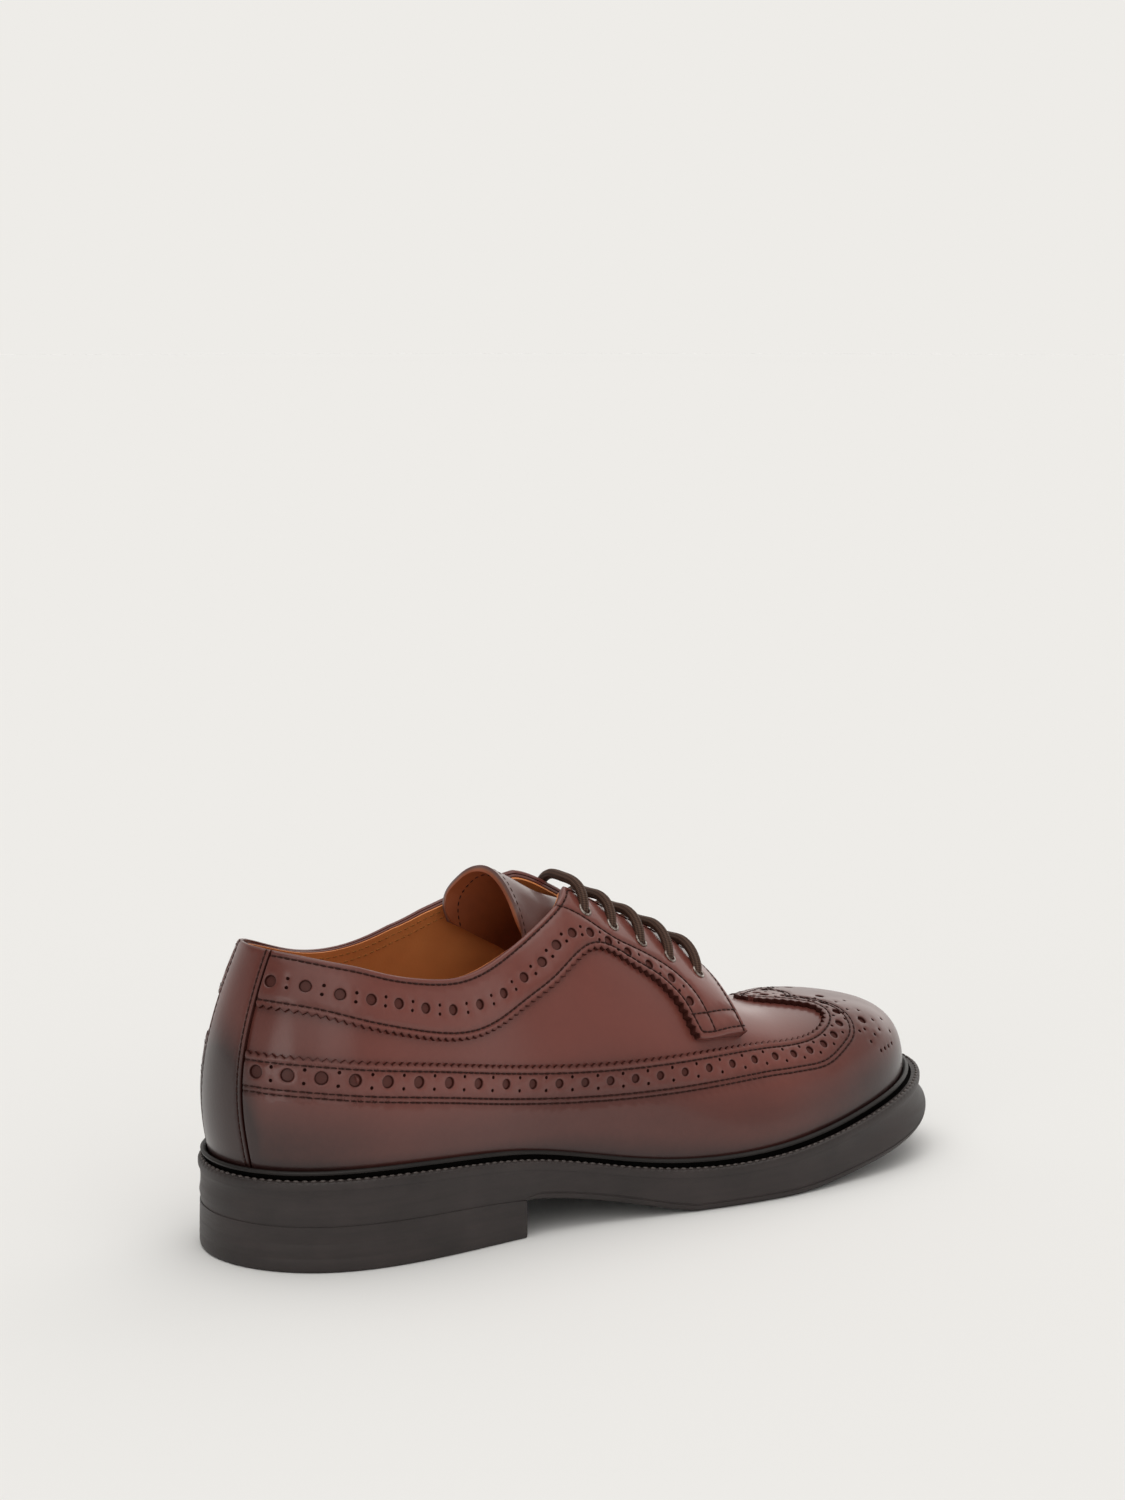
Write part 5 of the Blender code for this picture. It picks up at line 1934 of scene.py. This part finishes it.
@dataclass
class HeelStrip(SewnPart):
    """Strip over the back seam."""

    edge_stitch: float = 1.6
    steps: int = 30
    cell: float = 1.8

    def build(self) -> None:
        """Make the strip and its stitches."""
        pattern, surface = self.pattern, self.pattern.surface
        outer, inner = (pattern.strip_line(side) for side in Side)
        reach = float(pattern.strip_edge(OVERLAY_FOOT))
        foot = pattern.foot(-reach, reach, OVERLAY_FOOT, self.steps)
        turns = np.linspace(-1.0, 1.0, self.steps) * float(surface.roll(outer[-1:])[0][0])
        top = surface.flat(turns, surface.top_rise(np.zeros(self.steps)))
        outline = [
            EdgeRun(foot, EdgeKind.PLAIN),
            EdgeRun(outer, EdgeKind.PLAIN),
            EdgeRun(top[::-1], EdgeKind.FOLDED),
            EdgeRun(inner[::-1], EdgeKind.PLAIN),
        ]
        edges = ((outer, self.edge_stitch), (inner, -self.edge_stitch))
        rows = [surface.offset(surface.even(line, ROW_PITCH), inset) for line, inset in edges]
        panel = Panel(
            "heel_strip_panel", surface, CALF, strip_height, LAYER_GAP, outline, seams=rows, cell=self.cell
        )
        self.overlay(panel, "heel_strip", "heel_strip_stitches")


@dataclass
class Tongue:
    """Arched tongue with a rounded end, calf outside and lining inside."""

    surface: LastSurface
    columns: int = 90
    rows: int = 120
    calf: float = 1.0
    core: float = 0.6
    stitch_in: float = 2.1
    stitch_pitch: float = 2.6

    def ceiling(self, station: Array, across: Array) -> Array:
        """Height that the tongue keeps under, inside the upper's wall.

        Args:
            station: stations.
            across: distances from the axis, positive on the inner side.

        Returns:
            Heights over the floor.
        """
        surface = self.surface
        turn = surface.turn_at(station)
        turn = np.where(across > 0, 1 - turn, turn)
        rise = surface.find_rise(turn, lambda p: np.abs(across) - surface.off_axis(p))
        step = 1e-3
        low = np.clip(rise, step, 1 - 20 * step)
        along = surface.face(turn + step, low) - surface.face(turn - step, low)
        up = surface.face(turn, low + step) - surface.face(turn, low - step)
        upright = np.clip(unit(np.cross(along, up))[..., 2], 0.15, 1)
        return surface.face(turn, rise)[..., 2] - (UPPER_WALL + 4 * FIT_GAP) / upright

    def control(self) -> Array:
        """Rows of control points from the tongue's end to the vamp.

        Returns:
            Grid of points, one row for each station.
        """
        table = np.array(TONGUE)
        stations, crown, slope, curve, half = table.T
        across = half[:, None] * np.linspace(-1.0, 1.0, len(TONGUE_RIM))[None, :]
        drop = slope[:, None] * (np.hypot(across, TONGUE_TIP) - TONGUE_TIP) + curve[:, None] * across**2
        station = np.broadcast_to(stations[:, None], across.shape)
        height = crown[:, None] - drop
        covered = np.abs(across) >= np.interp(station, *np.transpose(TONGUE_FREE))
        height = np.where(covered, np.minimum(height, self.ceiling(station, across)), height)
        grid = np.stack([station, self.surface.axis(station) + across, height], -1)
        return np.concatenate([np.array(TONGUE_RIM)[None], grid])

    def build(self) -> None:
        """Loft the tongue through its control rows."""
        grid = self.control()
        places = np.concatenate([[TONGUE_END], np.array(TONGUE)[:, 0]])
        lengthwise = Curve(places, grid)(np.linspace(places[0], places[-1], self.rows))
        share = np.linspace(-1.0, 1.0, grid.shape[1])
        sheet = Curve(share, np.moveaxis(lengthwise, 1, 0))(np.linspace(-1.0, 1.0, self.columns))
        sheet = np.moveaxis(sheet, 0, 1)
        along = np.gradient(sheet, axis=0)
        across = np.gradient(sheet, axis=1)
        normal = unit(np.cross(along, across))
        normal *= np.sign(normal[self.rows // 2, self.columns // 2, 2])
        layers = [sheet - normal * depth for depth in (0.0, self.calf, self.calf + self.core, TONGUE_WALL)]
        self.leaf("tongue_calf", layers[0], layers[1], TONGUE_CALF, "tongue")
        self.leaf("tongue_core", layers[1], layers[2], CUT_LEATHER)
        self.leaf("tongue_lining", layers[2], layers[3], TONGUE_LINING_SHADED)
        thread = Stitches("tongue_stitches", DARK_THREAD, length=1.9, width=0.5, height=0.4)
        from_rim = np.linalg.norm(sheet - sheet[:1], axis=2)[:, self.columns // 2]
        row = int(np.searchsorted(from_rim, self.stitch_in))
        for grid, up in ((layers[0], normal), (layers[3], -normal)):
            line, lean = self.even(grid[row], up[row])
            thread.add_row(line, lean)
        enlist(thread.build(), Slot.TONGUE)

    def even(self, line: Array, normal: Array) -> tuple[Array, Array]:
        """Line and its normals divided into stitches.

        Args:
            line: points of the line.
            normal: normals at them.

        Returns:
            Points and normals, a stitch apart.
        """
        length = lengths(line)
        where = np.linspace(0.0, length[-1], round(length[-1] / self.stitch_pitch) + 1)
        return at_lengths(line, length, where), unit(at_lengths(normal, length, where))

    def leaf(self, name: str, top: Array, low: Array, finish: Finish, *nodes: str) -> None:
        """Closed sheet between two grids.

        Args:
            name: name of the piece.
            top: grid of points on its upper face.
            low: grid of points on its lower face.
            finish: its finish.
            nodes: CAD nodes that it replaces.
        """
        rows, columns = top.shape[:2]
        count = rows * columns
        ids = np.arange(count).reshape(rows, columns)
        quads = np.stack([ids[:-1, :-1], ids[1:, :-1], ids[1:, 1:], ids[:-1, 1:]], -1).reshape(-1, 4)
        loop = np.concatenate([ids[0, :-1], ids[:-1, -1], ids[-1, :0:-1], ids[:0:-1, 0]])
        ring = np.roll(loop, -1)
        walls = np.stack([loop, ring, ring + count, loop + count], -1)
        faces = quads.tolist() + (quads[:, ::-1] + count).tolist() + walls.tolist()
        piece = shoe_object(name, np.concatenate([top.reshape(-1, 3), low.reshape(-1, 3)]), faces, finish)
        face_outward(piece)
        set_float(piece, "edge", np.zeros(2 * count))
        set_float(piece, "burnish", np.full(2 * count, TONGUE_RUB))
        enlist(piece, Slot.TONGUE, *nodes)


@dataclass
class Lacing:
    """Five straight bars of round lace through the eyelets."""

    surface: LastSurface
    sides: int = 14
    steps: int = 90
    dive: float = 2.6
    sink: float = 1.2
    thickness: float = 3.6

    def route(self, station: float, reach: float) -> Array:
        """Line of one bar, from inside one eyelet over the throat and into the other.

        Args:
            station: station of the eyelets.
            reach: their distance from the axis.

        Returns:
            Points of the line.
        """
        radius = 0.5 * LACE_DIAMETER
        ends = []
        for side in Side:
            points = []
            for share, extra in LACE_LIFT:
                turn, rise = self.surface.eyelet(station, side, share * reach)
                flat = self.surface.flat(np.array([turn]), np.array([rise]))
                spot, normal, _ = self.surface.frame_at(flat)
                cover = float(quarter_height(np.array(station)))
                if share == 1.0:
                    points.append(spot[0] - normal[0] * self.dive)
                    points.append(spot[0] + normal[0] * (cover - self.sink))
                else:
                    points.append(spot[0] + normal[0] * (cover + radius + FIT_GAP + extra))
            ends.append(points)
        outer, inner = ends
        middle = 0.5 * (outer[-1] + inner[-1])
        middle[2] = max(outer[-1][2], inner[-1][2]) + LACE_ARCH
        return spline_through(np.array([*outer, middle, *inner[::-1]]), self.steps)

    def build(self) -> None:
        """Sweep a round cord along each bar, with a map for its braid."""
        for k in range(EYELETS):
            route = self.route(EYELET_FIRST + EYELET_PITCH * k, EYELET_HALF + EYELET_SPREAD * k)
            enlist(self.cord(f"lace_{k + 1}", route), Slot.LACE, f"lace_bar_{k + 1}")

    def cord(self, name: str, route: Array) -> Piece:
        """Round cord along a line, closed at its ends.

        Args:
            name: name of the piece.
            route: points of the line.

        Returns:
            Object with a map for the braid.
        """
        along = unit(np.gradient(route, axis=0))
        side = unit(np.cross(along, np.array([1.0, 0.0, 0.0])))
        up = np.cross(side, along)
        angle = np.linspace(0, 2 * np.pi, self.sides, endpoint=False)
        spin = np.cos(angle)[None, :, None] * side[:, None] + np.sin(angle)[None, :, None] * up[:, None]
        rings = route[:, None] + 0.5 * self.thickness * spin
        count, sides = len(route), self.sides
        ids = np.arange(count * sides).reshape(count, sides)
        nexts = np.roll(ids, -1, axis=1)
        quads = np.stack([ids[:-1], nexts[:-1], nexts[1:], ids[1:]], -1).reshape(-1, 4).tolist()
        caps = [ids[0].tolist(), ids[-1].tolist()[::-1]]
        piece = shoe_object(name, rings.reshape(-1, 3), quads + caps, LACE)
        face_outward(piece)
        length = lengths(route)
        layer = piece.data.uv_layers.new(name="lace")
        for polygon in piece.data.polygons:
            corners = np.array(polygon.vertices)
            turns = (corners % sides) / sides
            if turns.max() - turns.min() > 0.5:
                turns = np.where(turns < 0.5, turns + 1.0, turns)
            for loop, corner, share in zip(polygon.loop_indices, corners, turns):
                layer.data[loop].uv = (share, length[corner // sides])
        return piece


@dataclass
class RingSolid:
    """Closed solid between rings of points round the foot."""

    name: str
    finish: Finish

    def tube(self, rings: Array) -> Piece:
        """Solid whose section is a closed loop of rings.

        Args:
            rings: points of the rings, in their order round the section.

        Returns:
            The solid's object.
        """
        count, around = rings.shape[:2]
        ids = np.arange(count * around).reshape(count, around)
        low, high = ids, np.roll(ids, -1, axis=0)
        quads = np.stack([low, np.roll(low, -1, axis=1), np.roll(high, -1, axis=1), high], -1)
        piece = shoe_object(self.name, rings.reshape(-1, 3), quads.reshape(-1, 4).tolist(), self.finish, SOLE_CREASE)
        face_outward(piece)
        return piece

    def stack(self, rings: Array, rungs: int = 14, floor: Callable[[Array], Array] | None = None) -> Piece:
        """Solid between rings from bottom to top, its ends closed by rungs across the foot.

        Args:
            rings: rings of points, each an even loop that starts at the heel's back.
            rungs: faces across an end.
            floor: height of the bottom at a station, if it isn't the straight rung.

        Returns:
            The new object.
        """
        count, around = rings.shape[:2]
        points = [rings.reshape(-1, 3)]
        ids = np.arange(count * around).reshape(count, around)
        faces = np.stack(
            [ids[:-1], np.roll(ids[:-1], -1, axis=1), np.roll(ids[1:], -1, axis=1), ids[1:]], -1
        ).reshape(-1, 4).tolist()
        total = count * around
        half = around // 2
        for row, is_floor in ((0, True), (count - 1, False)):
            lines = [[int(ids[row, 0])] * (rungs + 1)]
            for i in range(1, half):
                a, b = int(ids[row, i]), int(ids[row, around - i])
                share = np.linspace(0, 1, rungs + 1)[1:-1, None]
                between = rings[row, i] * (1 - share) + rings[row, around - i] * share
                if is_floor and floor is not None:
                    between[:, 2] = floor(between[:, 0])
                points.append(between)
                lines.append([a, *range(total, total + rungs - 1), b])
                total += rungs - 1
            lines.append([int(ids[row, half])] * (rungs + 1))
            for first, second in zip(lines, lines[1:]):
                for k in range(rungs):
                    corners = list(dict.fromkeys((first[k], second[k], second[k + 1], first[k + 1])))
                    if len(corners) > 2:
                        faces.append(corners)
        piece = shoe_object(self.name, np.concatenate(points), faces, self.finish, SOLE_CREASE)
        face_outward(piece)
        return piece


@dataclass
class Welt:
    """Storm welt: bead against the upper, a channel painted near-black as shade, and a rounded flange with stitches
    beside the channel.
    """

    surface: LastSurface
    around: int = 960
    stitch_pitch: float = 3.0
    stitch_stand: float = 0.1
    notch: float = 0.12
    notch_steps: int = 4
    toe_lip: float = 0.9
    toe_run: tuple[float, float] = (258.0, 290.0)
    flange: tuple = ((-0.1, 3.0), (0.0, 2.4), (0.0, 1.0), (-0.25, 0.35), (-0.9, 0.0))
    groove: tuple = ((0.2, 0.06), (0.48, 0.06), (0.55, -0.9), (0.95, -0.9))
    bead: tuple = (
        # above the seat, out from the upper
        (0.1, 0.45), (1.5, 0.45), (1.7, 1.3), (2.05, 1.85), (2.6, 1.9), (3.05, 1.45), (3.25, 0.8), (2.8, 0.1),
        (-2.9, 0),
    )

    def build(self) -> None:
        """Make the welt and the stitches on its flange."""
        surface = self.surface
        turns = np.arange(self.around) / self.around
        seat = surface.seat(surface.station(turns))
        clear = OVERLAY_GAP + OVERLAY + 2 * FIT_GAP

        def bead(above: float, out: float) -> Array:
            """Ring of the bead at a height above the seat.

            Args:
                above: height above the seat.
                out: distance out from the upper.

            Returns:
                Points of the ring.
            """
            rise = surface.find_rise(turns, lambda p: p[..., 2] - (seat + above))
            spot = surface.face(turns, rise)
            return lift(spot[:, :2] + surface.outward(turns) * (clear + out), seat + above)

        wheel = np.where(np.arange(self.around) % self.notch_steps == 0, self.notch, 0.0)
        lip = self.toe_lip * smooth_step(*self.toe_run, surface.station(turns))

        def flange(out: float, below: float) -> Array:
            """Ring of the flange, notched by the wheel on top."""
            plan = surface.rim(turns, out + lip - wheel * (below < 1.0))
            return lift(plan, surface.seat(plan[:, 0]) - below - wheel * (below < 1.0))

        outer = [flange(*row) for row in self.flange]
        inner = [bead(*row) for row in self.bead]
        between = []
        for share, rise in self.groove:
            ring = outer[-1] * (1 - share) + inner[0] * share
            ring[:, 2] += rise
            between.append(ring)
        section = np.array([*outer, *between, *inner])
        strip = RingSolid("welt_strip", WELT_RUBBER).tube(section)
        # The channel's faces take the near-black rubber: painted shade
        for finish in (SOLE_RUBBER, CHANNEL_SHADE_RUBBER):
            strip.data.materials.append(finish.material())
        for polygon in strip.data.polygons:
            row = polygon.index // self.around - len(outer)
            polygon.material_index = 1 if row < 1 else 2 if row < len(between) + 2 else 0
        enlist(strip, Slot.WELT, "welt")
        self.sew(0.5 * (outer[-1] + between[0]))

    def sew(self, line: Array) -> None:
        """Stitches along the flange.

        Args:
            line: ring of points on the flange.
        """
        loop = np.concatenate([line, line[:1]])
        length = lengths(loop)
        row = at_lengths(loop, length, np.linspace(0.0, length[-1], round(length[-1] / self.stitch_pitch) + 1))
        row[:, 2] += self.stitch_stand
        thread = Stitches("welt_stitches", WELT_THREAD, length=2.2, width=1.0, height=0.9)
        thread.add_row(row, np.tile((0.0, 0.0, 1.0), (len(row), 1)))
        enlist(thread.build(), Slot.WELT)


@dataclass
class Outsole:
    """Rubber outsole with hollowed wall, flared foot and rounded edge; over the heel its wall runs on flush."""

    surface: LastSurface
    around: int = 480
    breast_blend: tuple[float, float] = (96.0, 106.0)
    heel_out: float = -0.5
    heel_lift: float = 0.15
    wall: tuple = (
        # share of the flare, out, share of the height, lift
        (1, -2.4, 0, 0), (1, -1.3, 0, 0.15), (1, -0.6, 0, 0.8), (1, -0.12, 0, 1.5), (1, -0.02, 0, 2.2),
        (1, -0.3, 0, 2.4), (1, -0.3, 0, 2.7), (1, -0.04, 0, 2.9), (0.95, -0.05, 0.06, 2.8),
        (0.5, -0.55, 0.5, 0), (0.2, -0.75, 0.8, -0.8), (0, -0.65, 1, -0.8), (0, -0.35, 1, -0.1),
        (0, -0.4, 1, 0.25),
    )

    def build(self) -> None:
        """Make the outsole."""
        surface = self.surface
        turns = np.arange(self.around) / self.around
        station = surface.rim(turns)[:, 0]
        flare = surface.flare(station)
        top = surface.seat(station) - WELT_THICK - FIT_GAP
        low = surface.underside(station)
        ahead = smooth_step(*self.breast_blend, station)
        rings = []
        for spread, out, share, rest in self.wall:
            if share == 0.0:
                out = out * ahead + self.heel_out * (1 - ahead)
                rest = rest * (self.heel_lift + (1 - self.heel_lift) * ahead)
            rings.append(lift(surface.rim(turns, spread * flare + out), low + share * (top - low) + rest))
        piece = RingSolid("outsole_rubber", SOLE_RUBBER).stack(np.array(rings), floor=surface.underside)
        enlist(piece, Slot.SOLE, "outsole")


@dataclass
class Heel:
    """Stacked heel under the outsole, with a slightly hollow breast."""

    surface: LastSurface
    breast: float = 99.0
    hollow: float = 3.0
    points: int = 160
    breast_points: int = 15
    wall: tuple = (
        # out, share of the height, lift
        (-1.4, 0, 0), (-0.8, 0, 0.15), (-0.4, 0, 0.7), (-0.2, 0, 1.8), (-0.22, 0.3, 0), (-0.3, 0.3, 0.25),
        (-0.24, 0.3, 0.5), (-0.32, 0.62, 0), (-0.39, 0.62, 0.22), (-0.34, 0.62, 0.44), (-0.5, 1, 0),
    )

    def build(self) -> None:
        """Make the heel."""
        surface = self.surface
        edge = float(surface.turn_at(self.breast))
        half = self.points // 2
        side = np.linspace(0.0, edge, half + 1)
        rings = []
        for out, share, rest in self.wall:
            outer, inner = surface.rim(side, out), surface.rim(1 - side, out)
            for line in (outer, inner):
                line[:, 0] = np.minimum(line[:, 0], self.breast)
            across = np.linspace(outer[-1, 1], inner[-1, 1], self.breast_points + 2)[1:-1]
            dip = 1 - (across / outer[-1, 1]) ** 2
            breast = np.stack([self.breast - self.hollow * dip, across], -1)
            plan = np.concatenate([outer, breast, inner[:0:-1]])
            rings.append(lift(plan, share * surface.underside(plan[:, 0]) + rest))
        piece = RingSolid("heel_block", SOLE_RUBBER).stack(np.array(rings))
        enlist(piece, Slot.SOLE, "heel")


@dataclass
class Insole:
    """Insole with its leather sock inside the lining."""

    surface: LastSurface
    around: int = 240
    rounded: tuple[float, float] = (0.5, 0.6)

    def build(self) -> None:
        """Make the insole."""
        surface = self.surface
        turns = np.arange(self.around) / self.around
        inset = UPPER_WALL + 2 * FIT_GAP
        rings = []
        inwards, down = self.rounded
        for extra, height in ((0.0, 0.0), (0.0, INSOLE_THICK - down), (inwards, INSOLE_THICK)):
            plan = surface.feather(turns) - surface.outward(turns) * (inset + extra)
            rings.append(lift(plan, surface.seat(plan[:, 0]) - WELT_THICK + height))
        piece = RingSolid("insole_sock", INSOLE_LEATHER).stack(np.array(rings))
        enlist(piece, Slot.INSOLE, "insole")


@dataclass(frozen=True)
class SoftBox:
    """One soft light of the studio: where it stands, and the cosines of its bright middle and its faded rim."""

    towards: tuple[float, float, float]
    middle: float
    rim: float
    power: float


@dataclass
class Studio:
    """Seamless paper floor, a surround with soft boxes, and the camera."""

    camera_at: tuple = (-0.66027, -0.94743, 0.32748)
    camera_aim: tuple = (0.00560, 0.02228, 0.15644)
    lens: float = 79.261
    paper_radius: float = 12.0
    backdrop: str = "#eeece8"
    dim_band: tuple[float, float] = (0.24, 0.40)
    dim: float = 0.5
    dark_side: SoftBox = SoftBox((-0.30, -0.92, 0.25), 0.85, 0.15, 0.3)
    sky: tuple[int, int] = (200, 360)
    boxes: tuple = (
        SoftBox((0.0, 0.10, 1.0), 0.96, 0.74, 1.6),
        SoftBox((-0.25, -0.60, 0.76), 0.95, 0.60, 1.0),
        SoftBox((-0.88, -0.40, 0.14), 0.99, 0.95, 2.0),
        SoftBox((-0.13, -0.95, 0.22), 0.99, 0.94, 0.6),
        SoftBox((-0.85, 0.45, 0.12), 0.90, 0.50, -0.4),
        SoftBox((0.80, 0.44, 0.50), 0.95, 0.87, 0.9),
    )

    def build(self) -> None:
        """Make the stage."""
        self.paper()
        self.air()
        self.camera()

    def white(self) -> float:
        """How white the paper is for its lit face to have the backdrop's own brightness.

        Returns:
            Share of the light that the paper returns.
        """
        rows, columns = self.sky
        heights, turns = np.meshgrid(
            (np.arange(rows) + 0.5) / rows, (np.arange(columns) + 0.5) / columns * math.tau
        )
        reach = np.sqrt(1 - heights**2)
        ways = np.stack([reach * np.cos(turns), reach * np.sin(turns), heights], -1)
        light = 1 + (self.dim - 1) * smooth_step(*self.dim_band, heights)
        dark = self.dark_side
        light *= 1 + (dark.power - 1) * smooth_step(dark.rim, dark.middle, ways @ unit(np.array(dark.towards)))
        for box in self.boxes:
            light += box.power * smooth_step(box.rim, box.middle, ways @ unit(np.array(box.towards)))
        return float(0.5 / (light * heights).mean())

    def paper(self) -> None:
        """Flat round floor."""
        bm = bmesh.new()
        bmesh.ops.create_circle(bm, cap_ends=True, segments=96, radius=self.paper_radius)
        mesh = bpy.data.meshes.new("studio_paper")
        bm.to_mesh(mesh)
        bm.free()
        mesh.materials.append(StudioPaper("seamless_paper", self.white()).material())
        paper = bpy.data.objects.new("studio_paper", mesh)
        bpy.context.scene.collection.objects.link(paper)

    def air(self) -> None:
        """Surround: the backdrop's tone at eye level, dimmer above it, with the soft boxes."""
        world = bpy.data.worlds.new("studio_air")
        world.use_nodes = True
        tree = world.node_tree
        way = add_node(tree, "ShaderNodeTexCoord").outputs["Generated"]
        height = add_node(tree, "ShaderNodeSeparateXYZ", {"Vector": way}).outputs["Z"]
        low, high = self.dim_band
        light = add_node(
            tree, "ShaderNodeMapRange",
            {"Value": height, "From Min": low, "From Max": high, "To Min": 1.0, "To Max": self.dim},
            interpolation_type="SMOOTHSTEP",
        ).outputs[0]
        for box in (self.dark_side, *self.boxes):
            is_dark = box is self.dark_side
            towards = unit(np.array(box.towards)).tolist()
            facing = add_node(
                tree, "ShaderNodeVectorMath", {"Vector": way, "Vector_001": towards}, operation="DOT_PRODUCT"
            )
            glow = add_node(
                tree, "ShaderNodeMapRange",
                {"Value": facing.outputs["Value"], "From Min": box.rim, "From Max": box.middle,
                 "To Min": float(is_dark), "To Max": box.power},
                interpolation_type="SMOOTHSTEP",
            )
            light = add_node(
                tree, "ShaderNodeMath", {"Value": light, "Value_001": glow.outputs[0]},
                operation="MULTIPLY" if is_dark else "ADD",
            ).outputs[0]
        tree.nodes["Background"].inputs["Color"].default_value = linear(self.backdrop)
        tree.links.new(light, tree.nodes["Background"].inputs["Strength"])
        bpy.context.scene.world = world

    def camera(self) -> None:
        """Camera at the photograph's angle."""
        data = bpy.data.cameras.new("camera")
        data.sensor_width = 36.0
        data.lens = self.lens
        eye = bpy.data.objects.new("camera", data)
        eye.location = self.camera_at
        aim = Vector(self.camera_aim) - Vector(self.camera_at)
        eye.rotation_euler = aim.to_track_quat("-Z", "Y").to_euler()
        bpy.context.scene.collection.objects.link(eye)
        bpy.context.scene.camera = eye


def main() -> None:
    """Build the shoe's pieces in order, then the studio."""
    logging.basicConfig(level=logging.INFO, format="%(name)s %(message)s")
    surface = LastSurface()
    pattern = Pattern(surface)
    Outsole(surface).build()
    Heel(surface).build()
    Welt(surface).build()
    Insole(surface).build()
    Vamp(pattern).build()
    Tongue(surface).build()
    WingCap(pattern).build()
    for side in Side:
        Quarter(pattern, side=side).build()
    HeelStrip(pattern).build()
    Eyelets(pattern).build()
    Lacing(surface).build()
    Studio().build()
    bpy.context.scene.view_settings.view_transform = "Standard"


if __name__ == "__main__":
    main()
